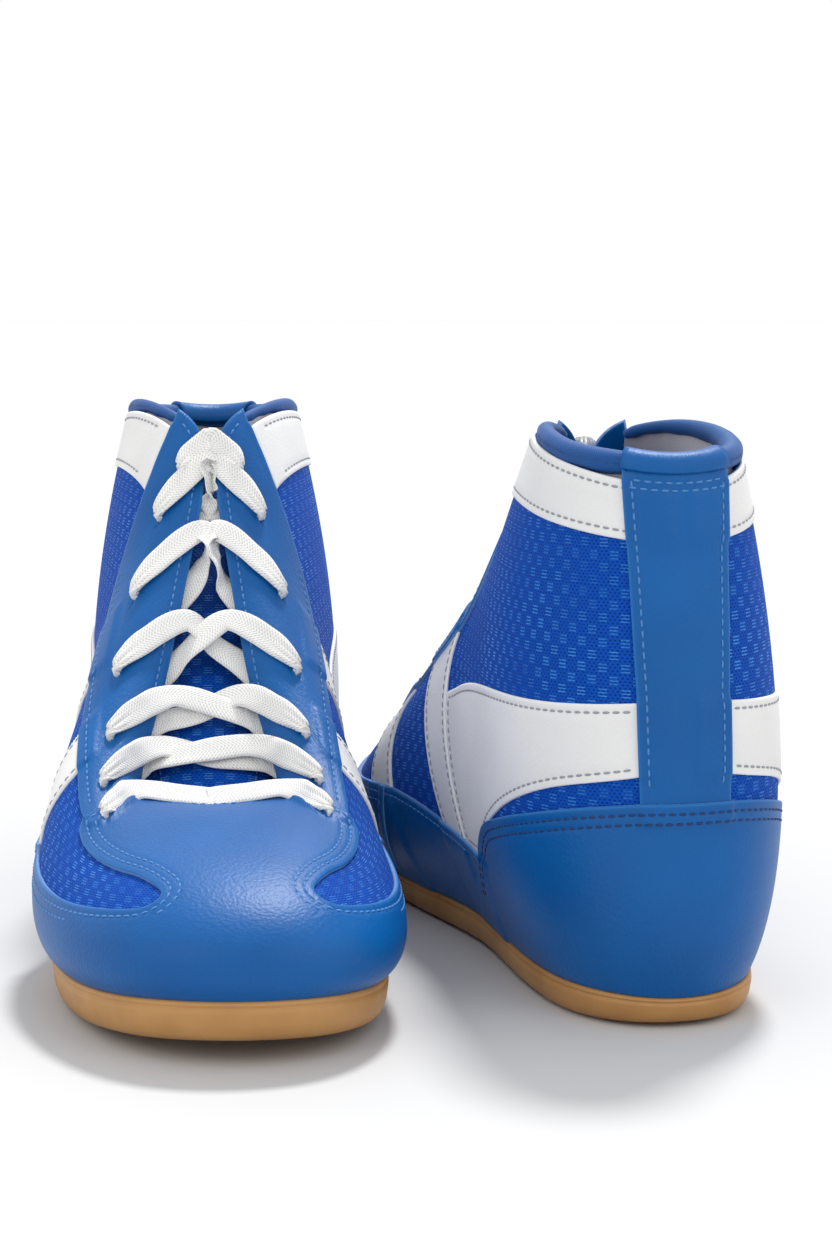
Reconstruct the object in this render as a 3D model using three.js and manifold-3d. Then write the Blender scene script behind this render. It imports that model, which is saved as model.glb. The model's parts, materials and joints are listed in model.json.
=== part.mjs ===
// A pair of mid-height boxing boots: the right one stands with its toe to the front (-Y), the left one
// with its heel to the front. Millimetres, +Z up, standing on z = 0. One boot is built as a right boot in
// its own frame, x outwards, y from heel to toe, z up. The left boot is its mirror image.
import * as THREE from "three";
import { mergeVertices } from "three/addons/utils/BufferGeometryUtils.js";
import Module from "manifold-3d";

const wasm = await Module();
wasm.setup();

// ---- driving sizes ----
const LENGTH = 284; // of the feather line, heel to toe
const WIDTH = 104; // across the ball
const HEIGHT = 169; // of the collar's highest point
const TOE_SWING = 9; // how far the toe swings towards the other foot
const BALL_SWING = 4; // how far the ball swings outwards
const GAP = 0.35; // clearance between pieces that lie on each other
const MESH_THICK = 0.9;
const STIFFENER_THICK = 0.85;
const LINING_THICK = 1.15;
const TRIM_THICK = 0.9; // collar bands, ankle bands and side straps, next to the mesh
const LEATHER_THICK = 1.0; // facings, toe, rands, counter and backstay, next to the trim
const SOLE_RIM = 2.2; // how far the outsole stands out beyond the feather line
const SOLE_BEVEL = 5; // how far the tread is narrower than the rim
const SOLE_LIP = 2.4; // height of the upright edge at the outsole's rim
const HEEL_SPRING = 1.5;
const TOE_SPRING = 8;
const TREAD_HEEL = 34; // the tread is flat on the ground between these two, along y
const TREAD_BALL = 190;
const BOARD_INSET = 5; // of the insole board inside the feather line
const BOARD_THICK = 1.6;
const SOCK_INSET = 5.6;
const SOCK_THICK = 3;
const COLLAR_EDGE = 0.968; // share of the height at which the collar's layers end in the binding
const BINDING_RADIUS = 3.8;
const LACE_WIDTH = 8;
const LACE_THICK = 1.1;
const BUNCHED_WIDTH = 4.2; // of the lace in an eyelet
const BUNCHED_THICK = 1.9;
const EYELET_LONG = 5.8;
const EYELET_SHORT = 3.8;
const AGLET_LENGTH = 18;
const AGLET_RADIUS = 1.7;
const TONGUE_THICK = 4;
const TONGUE_DEPTH = 9; // how far the tongue lies under the throat's edges
const TONGUE_WIDTH = 40;

const RIGHT_TOE = [-53.5, -40]; // where the right boot's toe and the left boot's heel stand
const LEFT_HEEL = [76, 0];
const RIGHT_YAW = 183.7;
const LEFT_YAW = 12.6;

// Offsets of the layers from the mesh's outer face, outwards positive.
const MESH = [-MESH_THICK, 0];
const STIFFENER = [MESH[0] - GAP - STIFFENER_THICK, MESH[0] - GAP];
const LINING = [STIFFENER[0] - GAP - LINING_THICK, STIFFENER[0] - GAP];
const TRIM = [GAP, GAP + TRIM_THICK];
const LEATHER = [TRIM[1] + GAP, TRIM[1] + GAP + LEATHER_THICK];

// ---- colours ----
const paint = (color, roughness) => new THREE.MeshStandardMaterial({ color, roughness, metalness: 0 });
const BLUE_LEATHER = paint(0x2f6fb5, 0.45);
const BLUE_MESH = paint(0x1f4fb8, 0.8);
const WHITE_TRIM = paint(0xececea, 0.5);
const LACE_WHITE = paint(0xf2f1ee, 0.9);
const GUM = paint(0xc9a06a, 0.6);
const LINING_GREY = paint(0xc8c6cf, 0.9);
const BINDING_BLUE = paint(0x2a53a8, 0.9);
const BOARD_TAN = paint(0xb89a72, 0.9);

// ---- the last ----
// Four loops shape it, each given from the toe to the heel on the outer side: x outwards, y, z. They were
// drawn for a last of this size.
const DRAWN = { length: 284, width: 104, height: 169 };
const LOOPS = [
  // feather line, where the upper meets the sole
  [[0, 282, 19], [23, 274, 18], [40, 248, 15], [46, 207, 12], [42, 170, 10], [35, 134, 10],
    [31, 104, 10], [31, 70, 10], [28, 30, 10], [15, 8, 9.5], [0, 3, 9]],
  // pulls the sides out above the sole
  [[0, 293, 35], [34, 285, 32], [57, 252, 28], [63, 210, 28], [59, 170, 34], [51, 134, 38],
    [47, 104, 40], [47, 68, 41], [44, 26, 41], [23, -3, 42], [0, -8, 43]],
  // pulls the sides in under the top line
  [[0, 272, 55], [20, 262, 55], [37, 230, 55], [45, 197, 64], [46, 166, 80], [45, 138, 97],
    [43, 114, 110], [44, 74, 115], [38, 32, 114], [20, 11, 113], [0, 5, 112]],
  // top line: round the throat, up its edge and back round the collar
  [[0, 190, 54], [17, 187, 55], [21, 176, 61], [14, 155, 83], [7, 132, 114], [1.5, 107, 149],
    [9, 96, 165], [22, 74, 169], [27, 44, 165], [17, 18, 160], [0, 11, 158]],
];
const STATIONS = LOOPS[0].length - 1;

const scaled = ([x, y, z]) =>
  new THREE.Vector3(
    (x * WIDTH) / DRAWN.width,
    (y * LENGTH) / DRAWN.length,
    (z * HEIGHT) / DRAWN.height,
  );

// A smooth closed spline through a loop and its mirror image: the points and their tangents.
function closedSpline(half) {
  const outer = half.map(scaled);
  const inner = outer
    .slice(1, -1)
    .reverse()
    .map((p) => new THREE.Vector3(-p.x, p.y, p.z));
  const points = [...outer, ...inner];
  const n = points.length;
  const pull = points.map((_, i) =>
    points[(i + 1) % n].clone().sub(points[(i + n - 1) % n]).multiplyScalar(3),
  );
  const tangents = pull.map((p) => p.clone().multiplyScalar(1 / 6));
  for (let round = 0; round < 60; round++)
    for (let i = 0; i < n; i++)
      tangents[i]
        .copy(pull[i])
        .sub(tangents[(i + 1) % n])
        .sub(tangents[(i + n - 1) % n])
        .multiplyScalar(1 / 4);
  return { points, tangents };
}
const SPLINES = LOOPS.map(closedSpline);

function onSpline({ points, tangents }, around) {
  const n = points.length;
  const s = around * STATIONS;
  const i = Math.floor(s);
  const f = s - i;
  const from = ((i % n) + n) % n;
  const to = (from + 1) % n;
  return new THREE.Vector3()
    .addScaledVector(points[from], 2 * f ** 3 - 3 * f ** 2 + 1)
    .addScaledVector(tangents[from], f ** 3 - 2 * f ** 2 + f)
    .addScaledVector(points[to], -2 * f ** 3 + 3 * f ** 2)
    .addScaledVector(tangents[to], f ** 3 - f ** 2);
}

// A point of the last. "around" is 0 at the toe and 1 at the heel, positive on the outer side and
// negative on the inner side. "up" is 0 at the feather line and 1 at the top line.
function lastPoint(around, up) {
  const down = 1 - up;
  const shares = [down ** 3, 3 * down ** 2 * up, 3 * down * up ** 2, up ** 3];
  const p = new THREE.Vector3();
  SPLINES.forEach((spline, i) => p.addScaledVector(onSpline(spline, around), shares[i]));
  const forward = Math.max(p.y / LENGTH - 0.21, 0) / 0.79;
  p.x += BALL_SWING * Math.exp(-(((p.y / LENGTH - 0.616) / 0.211) ** 2)) - TOE_SWING * forward ** 2;
  return p;
}

// The direction in which the layers stack: the surface normal, turned level at the feather line so that
// every layer stands on the sole.
function outward(around, up) {
  const step = 1e-3;
  const rise = lastPoint(around, up + step).sub(lastPoint(around, up - step));
  const turn = lastPoint(around + step, up).sub(lastPoint(around - step, up));
  const normal = rise.cross(turn).normalize();
  normal.z *= THREE.MathUtils.smoothstep(up, -0.03, 0.2);
  return normal.normalize();
}
const layerPoint = (around, up, offset) =>
  lastPoint(around, up).addScaledVector(outward(around, up), offset);

// ---- solids from triangles ----
function solid(points, faces) {
  const geometry = new THREE.BufferGeometry().setFromPoints(points);
  geometry.setIndex(faces.flat());
  const merged = mergeVertices(geometry, 1e-4);
  const build = (index) =>
    new wasm.Manifold(
      new wasm.Mesh({
        numProp: 3,
        vertProperties: merged.attributes.position.array,
        triVerts: new Uint32Array(index),
      }),
    );
  const index = Array.from(merged.index.array);
  const made = build(index);
  return made.volume() > 0 ? made : build(index.reverse());
}

// The largest body of a cut solid: slivers that a cut leaves behind go.
const largest = (made) => made.decompose().sort((a, b) => b.volume() - a.volume())[0];

function geometryOf(made) {
  const mesh = made.getMesh();
  const geometry = new THREE.BufferGeometry();
  geometry.setAttribute("position", new THREE.BufferAttribute(mesh.vertProperties.slice(), 3));
  geometry.setIndex(new THREE.BufferAttribute(mesh.triVerts.slice(), 1));
  geometry.computeVertexNormals();
  return geometry;
}

// Rings of points, each as long as the next, joined into a skin. With closed ends it is a bar.
function skin(rings, closed) {
  const wide = rings[0].length;
  const faces = [];
  const last = closed ? rings.length : rings.length - 1;
  for (let i = 0; i < last; i++)
    for (let j = 0; j < wide; j++) {
      const a = i * wide + j;
      const b = i * wide + ((j + 1) % wide);
      const c = ((i + 1) % rings.length) * wide + j;
      const d = ((i + 1) % rings.length) * wide + ((j + 1) % wide);
      faces.push([a, b, d], [a, d, c]);
    }
  if (!closed)
    for (let j = 1; j < wide - 1; j++) {
      const end = (rings.length - 1) * wide;
      faces.push([0, j + 1, j], [end, end + j, end + j + 1]);
    }
  return solid(rings.flat(), faces);
}

// ---- facets of the last ----
// The last is cut into facets along these lines, the same for every layer, so that layers stay parallel.
const HALF_COLUMNS = [0, 0.09, 0.18, 0.3, 0.43, 0.53, 0.61, 0.71, 0.82, 0.91, 1];
const COLUMNS = [
  ...HALF_COLUMNS,
  ...HALF_COLUMNS.slice(1, -1)
    .reverse()
    .map((around) => 2 - around),
];
const LEVELS = [0, 0.17, 0.38, 0.6, 0.82, 1];
const NODES = COLUMNS.map((around) =>
  LEVELS.map((up) => ({ place: lastPoint(around, up), stack: outward(around, up) })),
);

// A point of the facets, moved out by an offset.
function facetPoint(around, up, offset) {
  const turn = ((around % 2) + 2) % 2;
  const i = COLUMNS.findLastIndex((line) => line <= turn);
  const next = (i + 1) % COLUMNS.length;
  const s = (turn - COLUMNS[i]) / ((COLUMNS[i + 1] ?? 2) - COLUMNS[i]);
  const j = THREE.MathUtils.clamp(LEVELS.findLastIndex((line) => line <= up), 0, LEVELS.length - 2);
  const t = (up - LEVELS[j]) / (LEVELS[j + 1] - LEVELS[j]);
  const [near, far, across] = turn < 1 ? [i, next, s] : [next, i, 1 - s];
  const corners =
    across > t
      ? [[near, j, 1 - across], [far, j, across - t], [far, j + 1, t]]
      : [[near, j, 1 - t], [near, j + 1, t - across], [far, j + 1, across]];
  const p = new THREE.Vector3();
  for (const [column, level, share] of corners) {
    const { place, stack } = NODES[column][level];
    p.addScaledVector(place, share).addScaledVector(stack, share * offset);
  }
  return p;
}

// Two copies of a triangulated sheet, low and high, joined by walls along its rim.
function thicken(low, high, faces) {
  const n = low.length;
  const walls = new Map();
  for (const [a, b, c] of faces)
    for (const [i, j] of [[a, b], [b, c], [c, a]])
      if (!walls.delete(j + "_" + i)) walls.set(i + "_" + j, [i, j]);
  const all = faces.map(([a, b, c]) => [a, b, c]);
  for (const [a, b, c] of faces) all.push([a + n, c + n, b + n]);
  for (const [i, j] of walls.values()) all.push([i, j + n, j], [i, i + n, j + n]);
  return solid([...low, ...high], all);
}

// ---- panels of the upper ----
// One whole layer round the boot, from the feather line to the top line.
function layer([inside, outside]) {
  const tall = LEVELS.length;
  const faces = [];
  COLUMNS.forEach((around, i) => {
    const next = (i + 1) % COLUMNS.length;
    const [near, far] = around < 1 ? [i, next] : [next, i];
    for (let j = 0; j < tall - 1; j++) {
      const [a, b, c, d] = [near * tall + j, near * tall + j + 1, far * tall + j, far * tall + j + 1];
      if (around < 1) faces.push([a, c, d], [a, d, b]);
      else faces.push([a, d, c], [a, b, d]);
    }
  });
  const at = (offset) =>
    NODES.flat().map(({ place, stack }) => place.clone().addScaledVector(stack, offset));
  return thicken(at(inside), at(outside), faces);
}
const LAYERS = new Map();
function layerSolid(offsets) {
  const key = offsets.join();
  if (!LAYERS.has(key)) LAYERS.set(key, layer(offsets));
  return LAYERS.get(key);
}

// Halves every edge longer than the limit until none is left.
function refine(points, faces, limit) {
  let work = faces;
  for (;;) {
    const middles = new Map();
    const middle = (i, j) => {
      const key = Math.min(i, j) + "_" + Math.max(i, j);
      if (middles.has(key)) return middles.get(key);
      const from = facetPoint(points[i].x, points[i].y, 0);
      const to = facetPoint(points[j].x, points[j].y, 0);
      let made = -1;
      if (from.distanceTo(to) > limit) {
        made = points.length;
        points.push(points[i].clone().add(points[j]).multiplyScalar(0.5));
      }
      middles.set(key, made);
      return made;
    };
    const next = [];
    for (const [a, b, c] of work) {
      const ab = middle(a, b);
      const bc = middle(b, c);
      const ca = middle(c, a);
      const cut = [ab, bc, ca].filter((m) => m >= 0).length;
      if (cut === 0) next.push([a, b, c]);
      else if (cut === 3) next.push([a, ab, ca], [ab, b, bc], [ca, bc, c], [ab, bc, ca]);
      else if (ab >= 0 && bc >= 0) next.push([a, ab, c], [ab, b, bc], [ab, bc, c]);
      else if (bc >= 0 && ca >= 0) next.push([b, bc, a], [bc, c, ca], [bc, ca, a]);
      else if (ca >= 0 && ab >= 0) next.push([c, ca, b], [ca, a, ab], [ca, ab, b]);
      else if (ab >= 0) next.push([a, ab, c], [ab, b, c]);
      else if (bc >= 0) next.push([b, bc, a], [bc, c, a]);
      else next.push([c, ca, b], [ca, a, b]);
    }
    if (next.length === work.length) return next;
    work = next;
  }
}

const CUTTER_REACH = 3; // how far a cutter stands out of the layer that it cuts
const CUTTER_EDGE = 18;
const SIMPLIFY = 0.17; // slivers thinner than this are cleared away, which is less than half the gap

// A cutter that follows the last: an outline of (around, up) points, thick enough to cut one layer.
function cutter(outline, [inside, outside]) {
  const points = outline.map((p) => p.clone());
  const faces = refine(points, THREE.ShapeUtils.triangulateShape(outline, []), CUTTER_EDGE);
  const at = (offset) => points.map((p) => facetPoint(p.x, p.y, offset));
  return thicken(at(inside - CUTTER_REACH), at(outside + CUTTER_REACH), faces);
}

const panel = (outline, offsets) =>
  largest(layerSolid(offsets).intersect(cutter(outline, offsets)));

const smooth = (points, steps = 2) =>
  new THREE.SplineCurve(points.map(([a, v]) => new THREE.Vector2(a, v))).getPoints(
    steps * (points.length - 1),
  );
const straight = (points) => points.map(([a, v]) => new THREE.Vector2(a, v));
const mirrored = (outline) => outline.map((p) => new THREE.Vector2(-p.x, p.y));
const acrossHeel = (half) => [
  ...half,
  ...half
    .slice()
    .reverse()
    .map((p) => new THREE.Vector2(2 - p.x, p.y)),
];
const acrossToe = (half) => [...half, ...mirrored(half).reverse()];

// ---- outlines on the last ----
const SEAM = 0.004; // half of the butt gap where two halves meet
const FOOT = -0.05; // the outlines reach below the feather line, where the layers end
const THROAT = 1.03; // and past the edge of the throat
const COLLAR_FRONT = 0.61; // where the top line turns from the collar down the throat

const FACING_EDGE = [[0.604, 0.985], [0.592, 0.9], [0.572, 0.79], [0.535, 0.7], [0.46, 0.665],
  [0.34, 0.68], [0.25, 0.68]];
const FACING_SEAM = [[0.243, 0.72], [0.207, 0.86], [0.179, 1.03]];
const MESH_EDGE = [[0.598, COLLAR_EDGE], [0.583, 0.9], [0.558, 0.81], [0.52, 0.74], [0.45, 0.71],
  [0.34, 0.73], [0.25, 0.73], [0.15, 0.69], [0.06, 0.66]];
const TOE_OUTLINE = [[0.16, 1.03], [0.19, 0.86], [0.226, 0.72], [0.236, 0.665], [0.218, 0.635],
  [0.15, 0.615], [0.11, 0.6], [0.083, 0.545], [0.095, 0.48], [0.13, 0.452], [0.24, 0.41],
  [0.34, 0.37], [0.42, 0.335]];
const RAND_TOP = [[0.427, 0.33], [0.53, 0.262], [0.6, 0.235], [0.66, 0.222]];
const COUNTER_TOP = [[0.668, FOOT], [0.672, 0.156], [0.7, 0.281], [0.753, 0.338], [0.838, 0.39],
  [0.92, 0.413], [1, 0.416]];
const BAND_TOP = [[0.58, 0.527], [0.7, 0.545], [0.812, 0.566], [0.93, 0.585], [0.985, 0.588]];
const BAND_BOTTOM = [[0.985, 0.466], [0.93, 0.46], [0.838, 0.43], [0.77, 0.375], [0.715, 0.3],
  [0.68, 0.215]];
const BACKSTAY = [[0.934, 0.424], [0.932, 0.6], [0.925, 0.8], [0.915, COLLAR_EDGE]];
const COLLAR_BAND_LOW = 0.858;
const STRAP_LOW = -0.05;
const STRAP_HIGH = 0.76;

// A straight strap across the side, from the facing down and back to the sole.
const strap = (topAround, sweep, width) => {
  const edge = (shift) =>
    smooth(
      [STRAP_HIGH, 0.5, 0.25, STRAP_LOW].map((up) => [
        topAround + sweep * (STRAP_HIGH - up) + shift,
        up,
      ]),
      1,
    );
  return [...edge(-width / 2), ...edge(width / 2).reverse()];
};
const FRONT_STRAP = { top: 0.327, sweep: 0.17, width: 0.055 };
const REAR_STRAP = { top: 0.44, sweep: 0.285, width: 0.066 };
// The rear edge of the rear strap, which the ankle band meets with a small gap.
const behindStrap = (up) => [
  REAR_STRAP.top + REAR_STRAP.sweep * (STRAP_HIGH - up) + REAR_STRAP.width / 2 + 2 * SEAM,
  up,
];

const halfToe = [...straight([[0.42, FOOT]]), ...smooth(TOE_OUTLINE.slice().reverse())];
const halfFacing = [...smooth(FACING_EDGE), ...smooth(FACING_SEAM), ...straight(
  [0.24, 0.32, 0.4, 0.48, 0.54, 0.58, COLLAR_FRONT - SEAM].map((around) => [around, THROAT]),
)];
const halfMesh = [
  ...straight([[0.06, FOOT], [1 - SEAM, FOOT], [1 - SEAM, COLLAR_EDGE]]),
  ...smooth(MESH_EDGE),
];
const halfLining = [
  ...straight([[SEAM, FOOT], [1 - SEAM, FOOT], [1 - SEAM, COLLAR_EDGE]]),
  ...smooth(MESH_EDGE),
  ...straight([[SEAM, 0.66]]),
];
const halfBand = [
  ...smooth(BAND_TOP),
  ...smooth(BAND_BOTTOM),
  ...smooth([behindStrap(0.2), behindStrap(0.35), behindStrap(0.527)]),
];
const halfCollarBand = straight([
  [COLLAR_FRONT - 0.008, COLLAR_BAND_LOW], [0.985, COLLAR_BAND_LOW], [0.985, COLLAR_EDGE],
  [COLLAR_FRONT, COLLAR_EDGE],
]);
const halfRand = [
  ...straight([[0.66, FOOT], [0.427, FOOT]]),
  ...smooth(RAND_TOP),
];
const halfPuff = straight([[0.2, 0.03], [0.2, 0.35], [0.13, 0.5], [0.02, 0.55]]);
const halfStiffener = straight([[0.74, 0.03], [0.75, 0.28], [0.84, 0.36], [0.98, 0.385]]);

// ---- lace ----
// Eyelets from the collar down to the toe, on the last.
const EYELETS = [[0.53, 0.945], [0.512, 0.88], [0.45, 0.83], [0.378, 0.815], [0.303, 0.82],
  [0.248, 0.8], [0.2, 0.77]];
const ON_TOP = LEATHER[1] + GAP + LACE_THICK;
const UNDER = LINING[0] - GAP - LACE_THICK;
const EDGE_ROOM = 2.2; // how far inside the throat's edge the lace comes up past it
const CROSS_LIFT = 1.7; // half the height between two crossing runs

// Up the throat's edge, the direction that the lace's width takes.
const alongThroat = (side, around) =>
  lastPoint(side * (around + 0.01), 0.99).sub(lastPoint(side * (around - 0.01), 0.99)).normalize();

// One half of the lace, from the bar across the lowest eyelets up to its end: places and widths.
function laceRoute(side) {
  const route = [];
  const add = (place, along, open) => route.push({ place, along, open });
  const at = (s, around, up, offset, open) =>
    add(facetPoint(s * around, up, offset), alongThroat(s, around), open);
  const through = (s, [around, up]) => {
    at(s, around, up, ON_TOP, 0);
    at(s, around, up, (ON_TOP + UNDER) / 2, 0);
    at(s, around, up, UNDER, 0);
  };
  let s = side;
  const [bottomAround, bottomUp] = EYELETS.at(-1);
  const bar = facetPoint(0, 0.99, ON_TOP + 0.4);
  const barAlong = new THREE.Vector3(0, -1, 0.6).normalize();
  for (const share of [-0.06, 0, 0.5]) {
    const near = facetPoint(s * 0.15, 0.97, ON_TOP + 0.3);
    add(bar.clone().lerp(near, share), barAlong, 1);
  }
  at(s, 0.172, 0.93, ON_TOP + 0.4, 1);
  at(s, bottomAround - 0.008, bottomUp + 0.06, ON_TOP + 0.5, 0.7);
  through(s, EYELETS.at(-1));
  for (let row = EYELETS.length - 1; row > 0; row--) {
    const [fromAround, fromUp] = EYELETS[row];
    const [toAround, toUp] = EYELETS[row - 1];
    const between = (share) => fromAround + (toAround - fromAround) * share;
    const over = (row % 2 === 0) === s > 0;
    at(s, between(0.1), (fromUp + 1) / 2, UNDER - 0.6, 0.6);
    const inwards = new THREE.Vector3(-s, 0, 0);
    const leave = facetPoint(s * between(0.3), 1, UNDER - 0.3).addScaledVector(inwards, EDGE_ROOM);
    const arrive = facetPoint(-s * between(0.8), 1, ON_TOP + 0.9).addScaledVector(inwards, -EDGE_ROOM);
    const lift = new THREE.Vector3(0, 0.6, 0.8).multiplyScalar(over ? CROSS_LIFT : -CROSS_LIFT);
    add(leave, alongThroat(s, between(0.3)), 1);
    add(leave.clone().lerp(arrive, over ? 0.45 : 0.5).add(lift), alongThroat(s, between(0.6)), 1);
    add(arrive, alongThroat(s, between(0.8)), 1);
    at(-s, between(0.93), (toUp + 1) / 2, ON_TOP + 0.5, 1);
    through(-s, EYELETS[row - 1]);
    s = -s;
  }
  at(s, 0.55, 0.9, UNDER - 1.15, 0.3);
  at(s, 0.58, 0.86, UNDER - 2.9, 0);
  return route;
}

const HALF_ROUTES = [1, -1].map(laceRoute);
// Corners of the lace's section, as shares of its half width and half thickness.
const SECTION = [[-1, -1], [1, -1], [1, 1], [-1, 1]];

function halfLace(route, room) {
  const path = new THREE.CatmullRomCurve3(route.map((p) => p.place), false, "centripetal");
  const rings = [];
  for (let i = 0; i < route.length; i++) {
    const { place: centre, open } = route[i];
    const travel = path.getTangent(i / (route.length - 1));
    const along = route[i].along.clone();
    along.addScaledVector(travel, -along.dot(travel)).normalize();
    const up = travel.clone().cross(along);
    const wide = THREE.MathUtils.lerp(BUNCHED_WIDTH, LACE_WIDTH, open) / 2 + room;
    const thick = THREE.MathUtils.lerp(BUNCHED_THICK, LACE_THICK, open) / 2 + room;
    rings.push(
      SECTION.map(([x, y]) =>
        centre.clone().addScaledVector(along, x * wide).addScaledVector(up, y * thick),
      ),
    );
  }
  return skin(rings, false);
}
const laceSolid = (room) => halfLace(HALF_ROUTES[0], room).add(halfLace(HALF_ROUTES[1], room));
const LACE_ROOM = laceSolid(2 * GAP);

function eyeletCutter(side, [around, up], offsets) {
  const wide = lastPoint(side * (around + 0.01), up).distanceTo(lastPoint(side * (around - 0.01), up));
  const tall = lastPoint(side * around, up + 0.02).distanceTo(lastPoint(side * around, up - 0.02));
  const ring = new THREE.EllipseCurve(
    side * around, up, ((EYELET_LONG / 2) * 0.02) / wide, ((EYELET_SHORT / 2) * 0.04) / tall,
  ).getPoints(6);
  return cutter(ring.slice(0, -1), offsets);
}
// A piece with its eyelets, and with room round the lace where it passes the piece's edge.
function laced(made, sides, offsets) {
  const holes = sides.flatMap((side) =>
    EYELETS.map((eyelet) => eyeletCutter(side, eyelet, offsets)),
  );
  return largest(holes.reduce((rest, hole) => rest.subtract(hole), made).subtract(LACE_ROOM));
}

function agletGeometry(route) {
  const end = route.at(-1).place;
  const before = route.at(-2).place;
  const travel = end.clone().sub(before).normalize();
  const geometry = new THREE.CylinderGeometry(AGLET_RADIUS, AGLET_RADIUS, AGLET_LENGTH, 8);
  geometry.applyQuaternion(
    new THREE.Quaternion().setFromUnitVectors(new THREE.Vector3(0, 1, 0), travel),
  );
  const centre = end.clone().addScaledVector(travel, AGLET_LENGTH / 2 + GAP);
  return geometry.translate(centre.x, centre.y, centre.z);
}

// ---- tongue ----
// It starts under the throat's base and leans back into the shaft, bent round the ankle's front.
function tongueSolid() {
  const along = 9;
  const across = 6;
  const ridge = [[0.06, 0], [0.2, 0], [0.36, 1.5], [0.48, 4], [0.56, 6]].map(([around, sink]) => {
    const both = [1, -1].map((side) => facetPoint(side * around, 0.99, -TONGUE_DEPTH - sink));
    return both[0].add(both[1]).multiplyScalar(0.5);
  });
  ridge[0].add(new THREE.Vector3(0, 9, -6));
  const line = new THREE.CatmullRomCurve3(ridge);
  const bend = new THREE.SplineCurve(
    [[0, 0.004], [0.4, 0.012], [0.75, 0.026], [1, 0.045]].map((p) => new THREE.Vector2(...p)),
  );
  const rings = [];
  for (let i = 0; i <= along; i++) {
    const t = i / along;
    const centre = line.getPoint(t);
    const travel = line.getTangent(t);
    const inward = new THREE.Vector3(0, -travel.z, travel.y).normalize();
    if (inward.z > 0) inward.negate();
    const half = (TONGUE_WIDTH / 2) * Math.min(1, 0.75 + t) * (t > 0.9 ? 0.86 : 1);
    const row = (depth) =>
      Array.from({ length: across + 1 }, (_, j) => {
        const x = half * ((2 * j) / across - 1);
        const rim = Math.abs(x) / half > 0.9 ? 0.6 : 1;
        const sink = bend.getPoint(t).y * x * x + (depth === 0 ? 0 : depth * rim);
        return centre.clone().add(new THREE.Vector3(x, 0, 0)).addScaledVector(inward, sink);
      });
    rings.push([...row(0), ...row(TONGUE_THICK).reverse()]);
  }
  return skin(rings, false);
}

// ---- sole ----
const SOLE_POINTS = 40;
// A ring round the feather line, moved out and set to a height by its place.
const soleRing = (out, height) =>
  Array.from({ length: SOLE_POINTS }, (_, i) => {
    const around = (2 * i) / SOLE_POINTS;
    const p = facetPoint(around, 0, out);
    return new THREE.Vector3(p.x, p.y, height(facetPoint(around, 0, 0)));
  });
// A solid of rings whose ends are closed by strips straight across the foot.
function soleSolid(rings) {
  const n = SOLE_POINTS;
  const faces = [];
  for (let k = 0; k < rings.length - 1; k++)
    for (let i = 0; i < n; i++) {
      const j = (i + 1) % n;
      faces.push([k * n + i, k * n + j, (k + 1) * n + j], [k * n + i, (k + 1) * n + j, (k + 1) * n + i]);
    }
  const top = (rings.length - 1) * n;
  for (let i = 0; i < n / 2; i++) {
    const [a, b, c, d] = [i, i + 1, (n - i) % n, n - i - 1];
    const strip = [[a, b, d], [a, d, c]].filter((t) => new Set(t).size === 3);
    for (const [p, q, r] of strip) faces.push([p, r, q], [top + p, top + q, top + r]);
  }
  return solid(rings.flat(), faces);
}
const heelStart = (TREAD_HEEL * LENGTH) / DRAWN.length;
const ballEnd = (TREAD_BALL * LENGTH) / DRAWN.length;
const tread = (y) =>
  TOE_SPRING * (Math.max(y - ballEnd, 0) / (LENGTH - ballEnd)) ** 2 +
  HEEL_SPRING * (Math.max(heelStart - y, 0) / heelStart) ** 2;
const outsoleSolid = () =>
  soleSolid([
    soleRing(SOLE_RIM - SOLE_BEVEL, (p) => tread(p.y)),
    soleRing(SOLE_RIM - SOLE_BEVEL / 4, (p) => tread(p.y) + (p.z - GAP - tread(p.y)) * 0.3),
    soleRing(SOLE_RIM, (p) => p.z - GAP - SOLE_LIP),
    soleRing(SOLE_RIM - 0.4, (p) => p.z - 1.3 * GAP),
  ]);
const plate = (inset, low, thick) =>
  soleSolid([soleRing(-inset, (p) => p.z + low), soleRing(-inset, (p) => p.z + low + thick)]);

// ---- collar binding ----
function bindingGeometry() {
  const points = [];
  for (let i = 0; i <= 28; i++) {
    const around = COLLAR_FRONT + 0.006 + (2 * (1 - COLLAR_FRONT) - 0.012) * (i / 28);
    points.push(facetPoint(around, 1, (LINING[0] + MESH[1]) / 2));
  }
  const ring = new THREE.Shape().absarc(0, 0, BINDING_RADIUS, 0, 2 * Math.PI);
  const geometry = new THREE.ExtrudeGeometry(ring, {
    curveSegments: 3,
    steps: 24,
    extrudePath: new THREE.CatmullRomCurve3(points),
  });
  return geometry;
}

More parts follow.
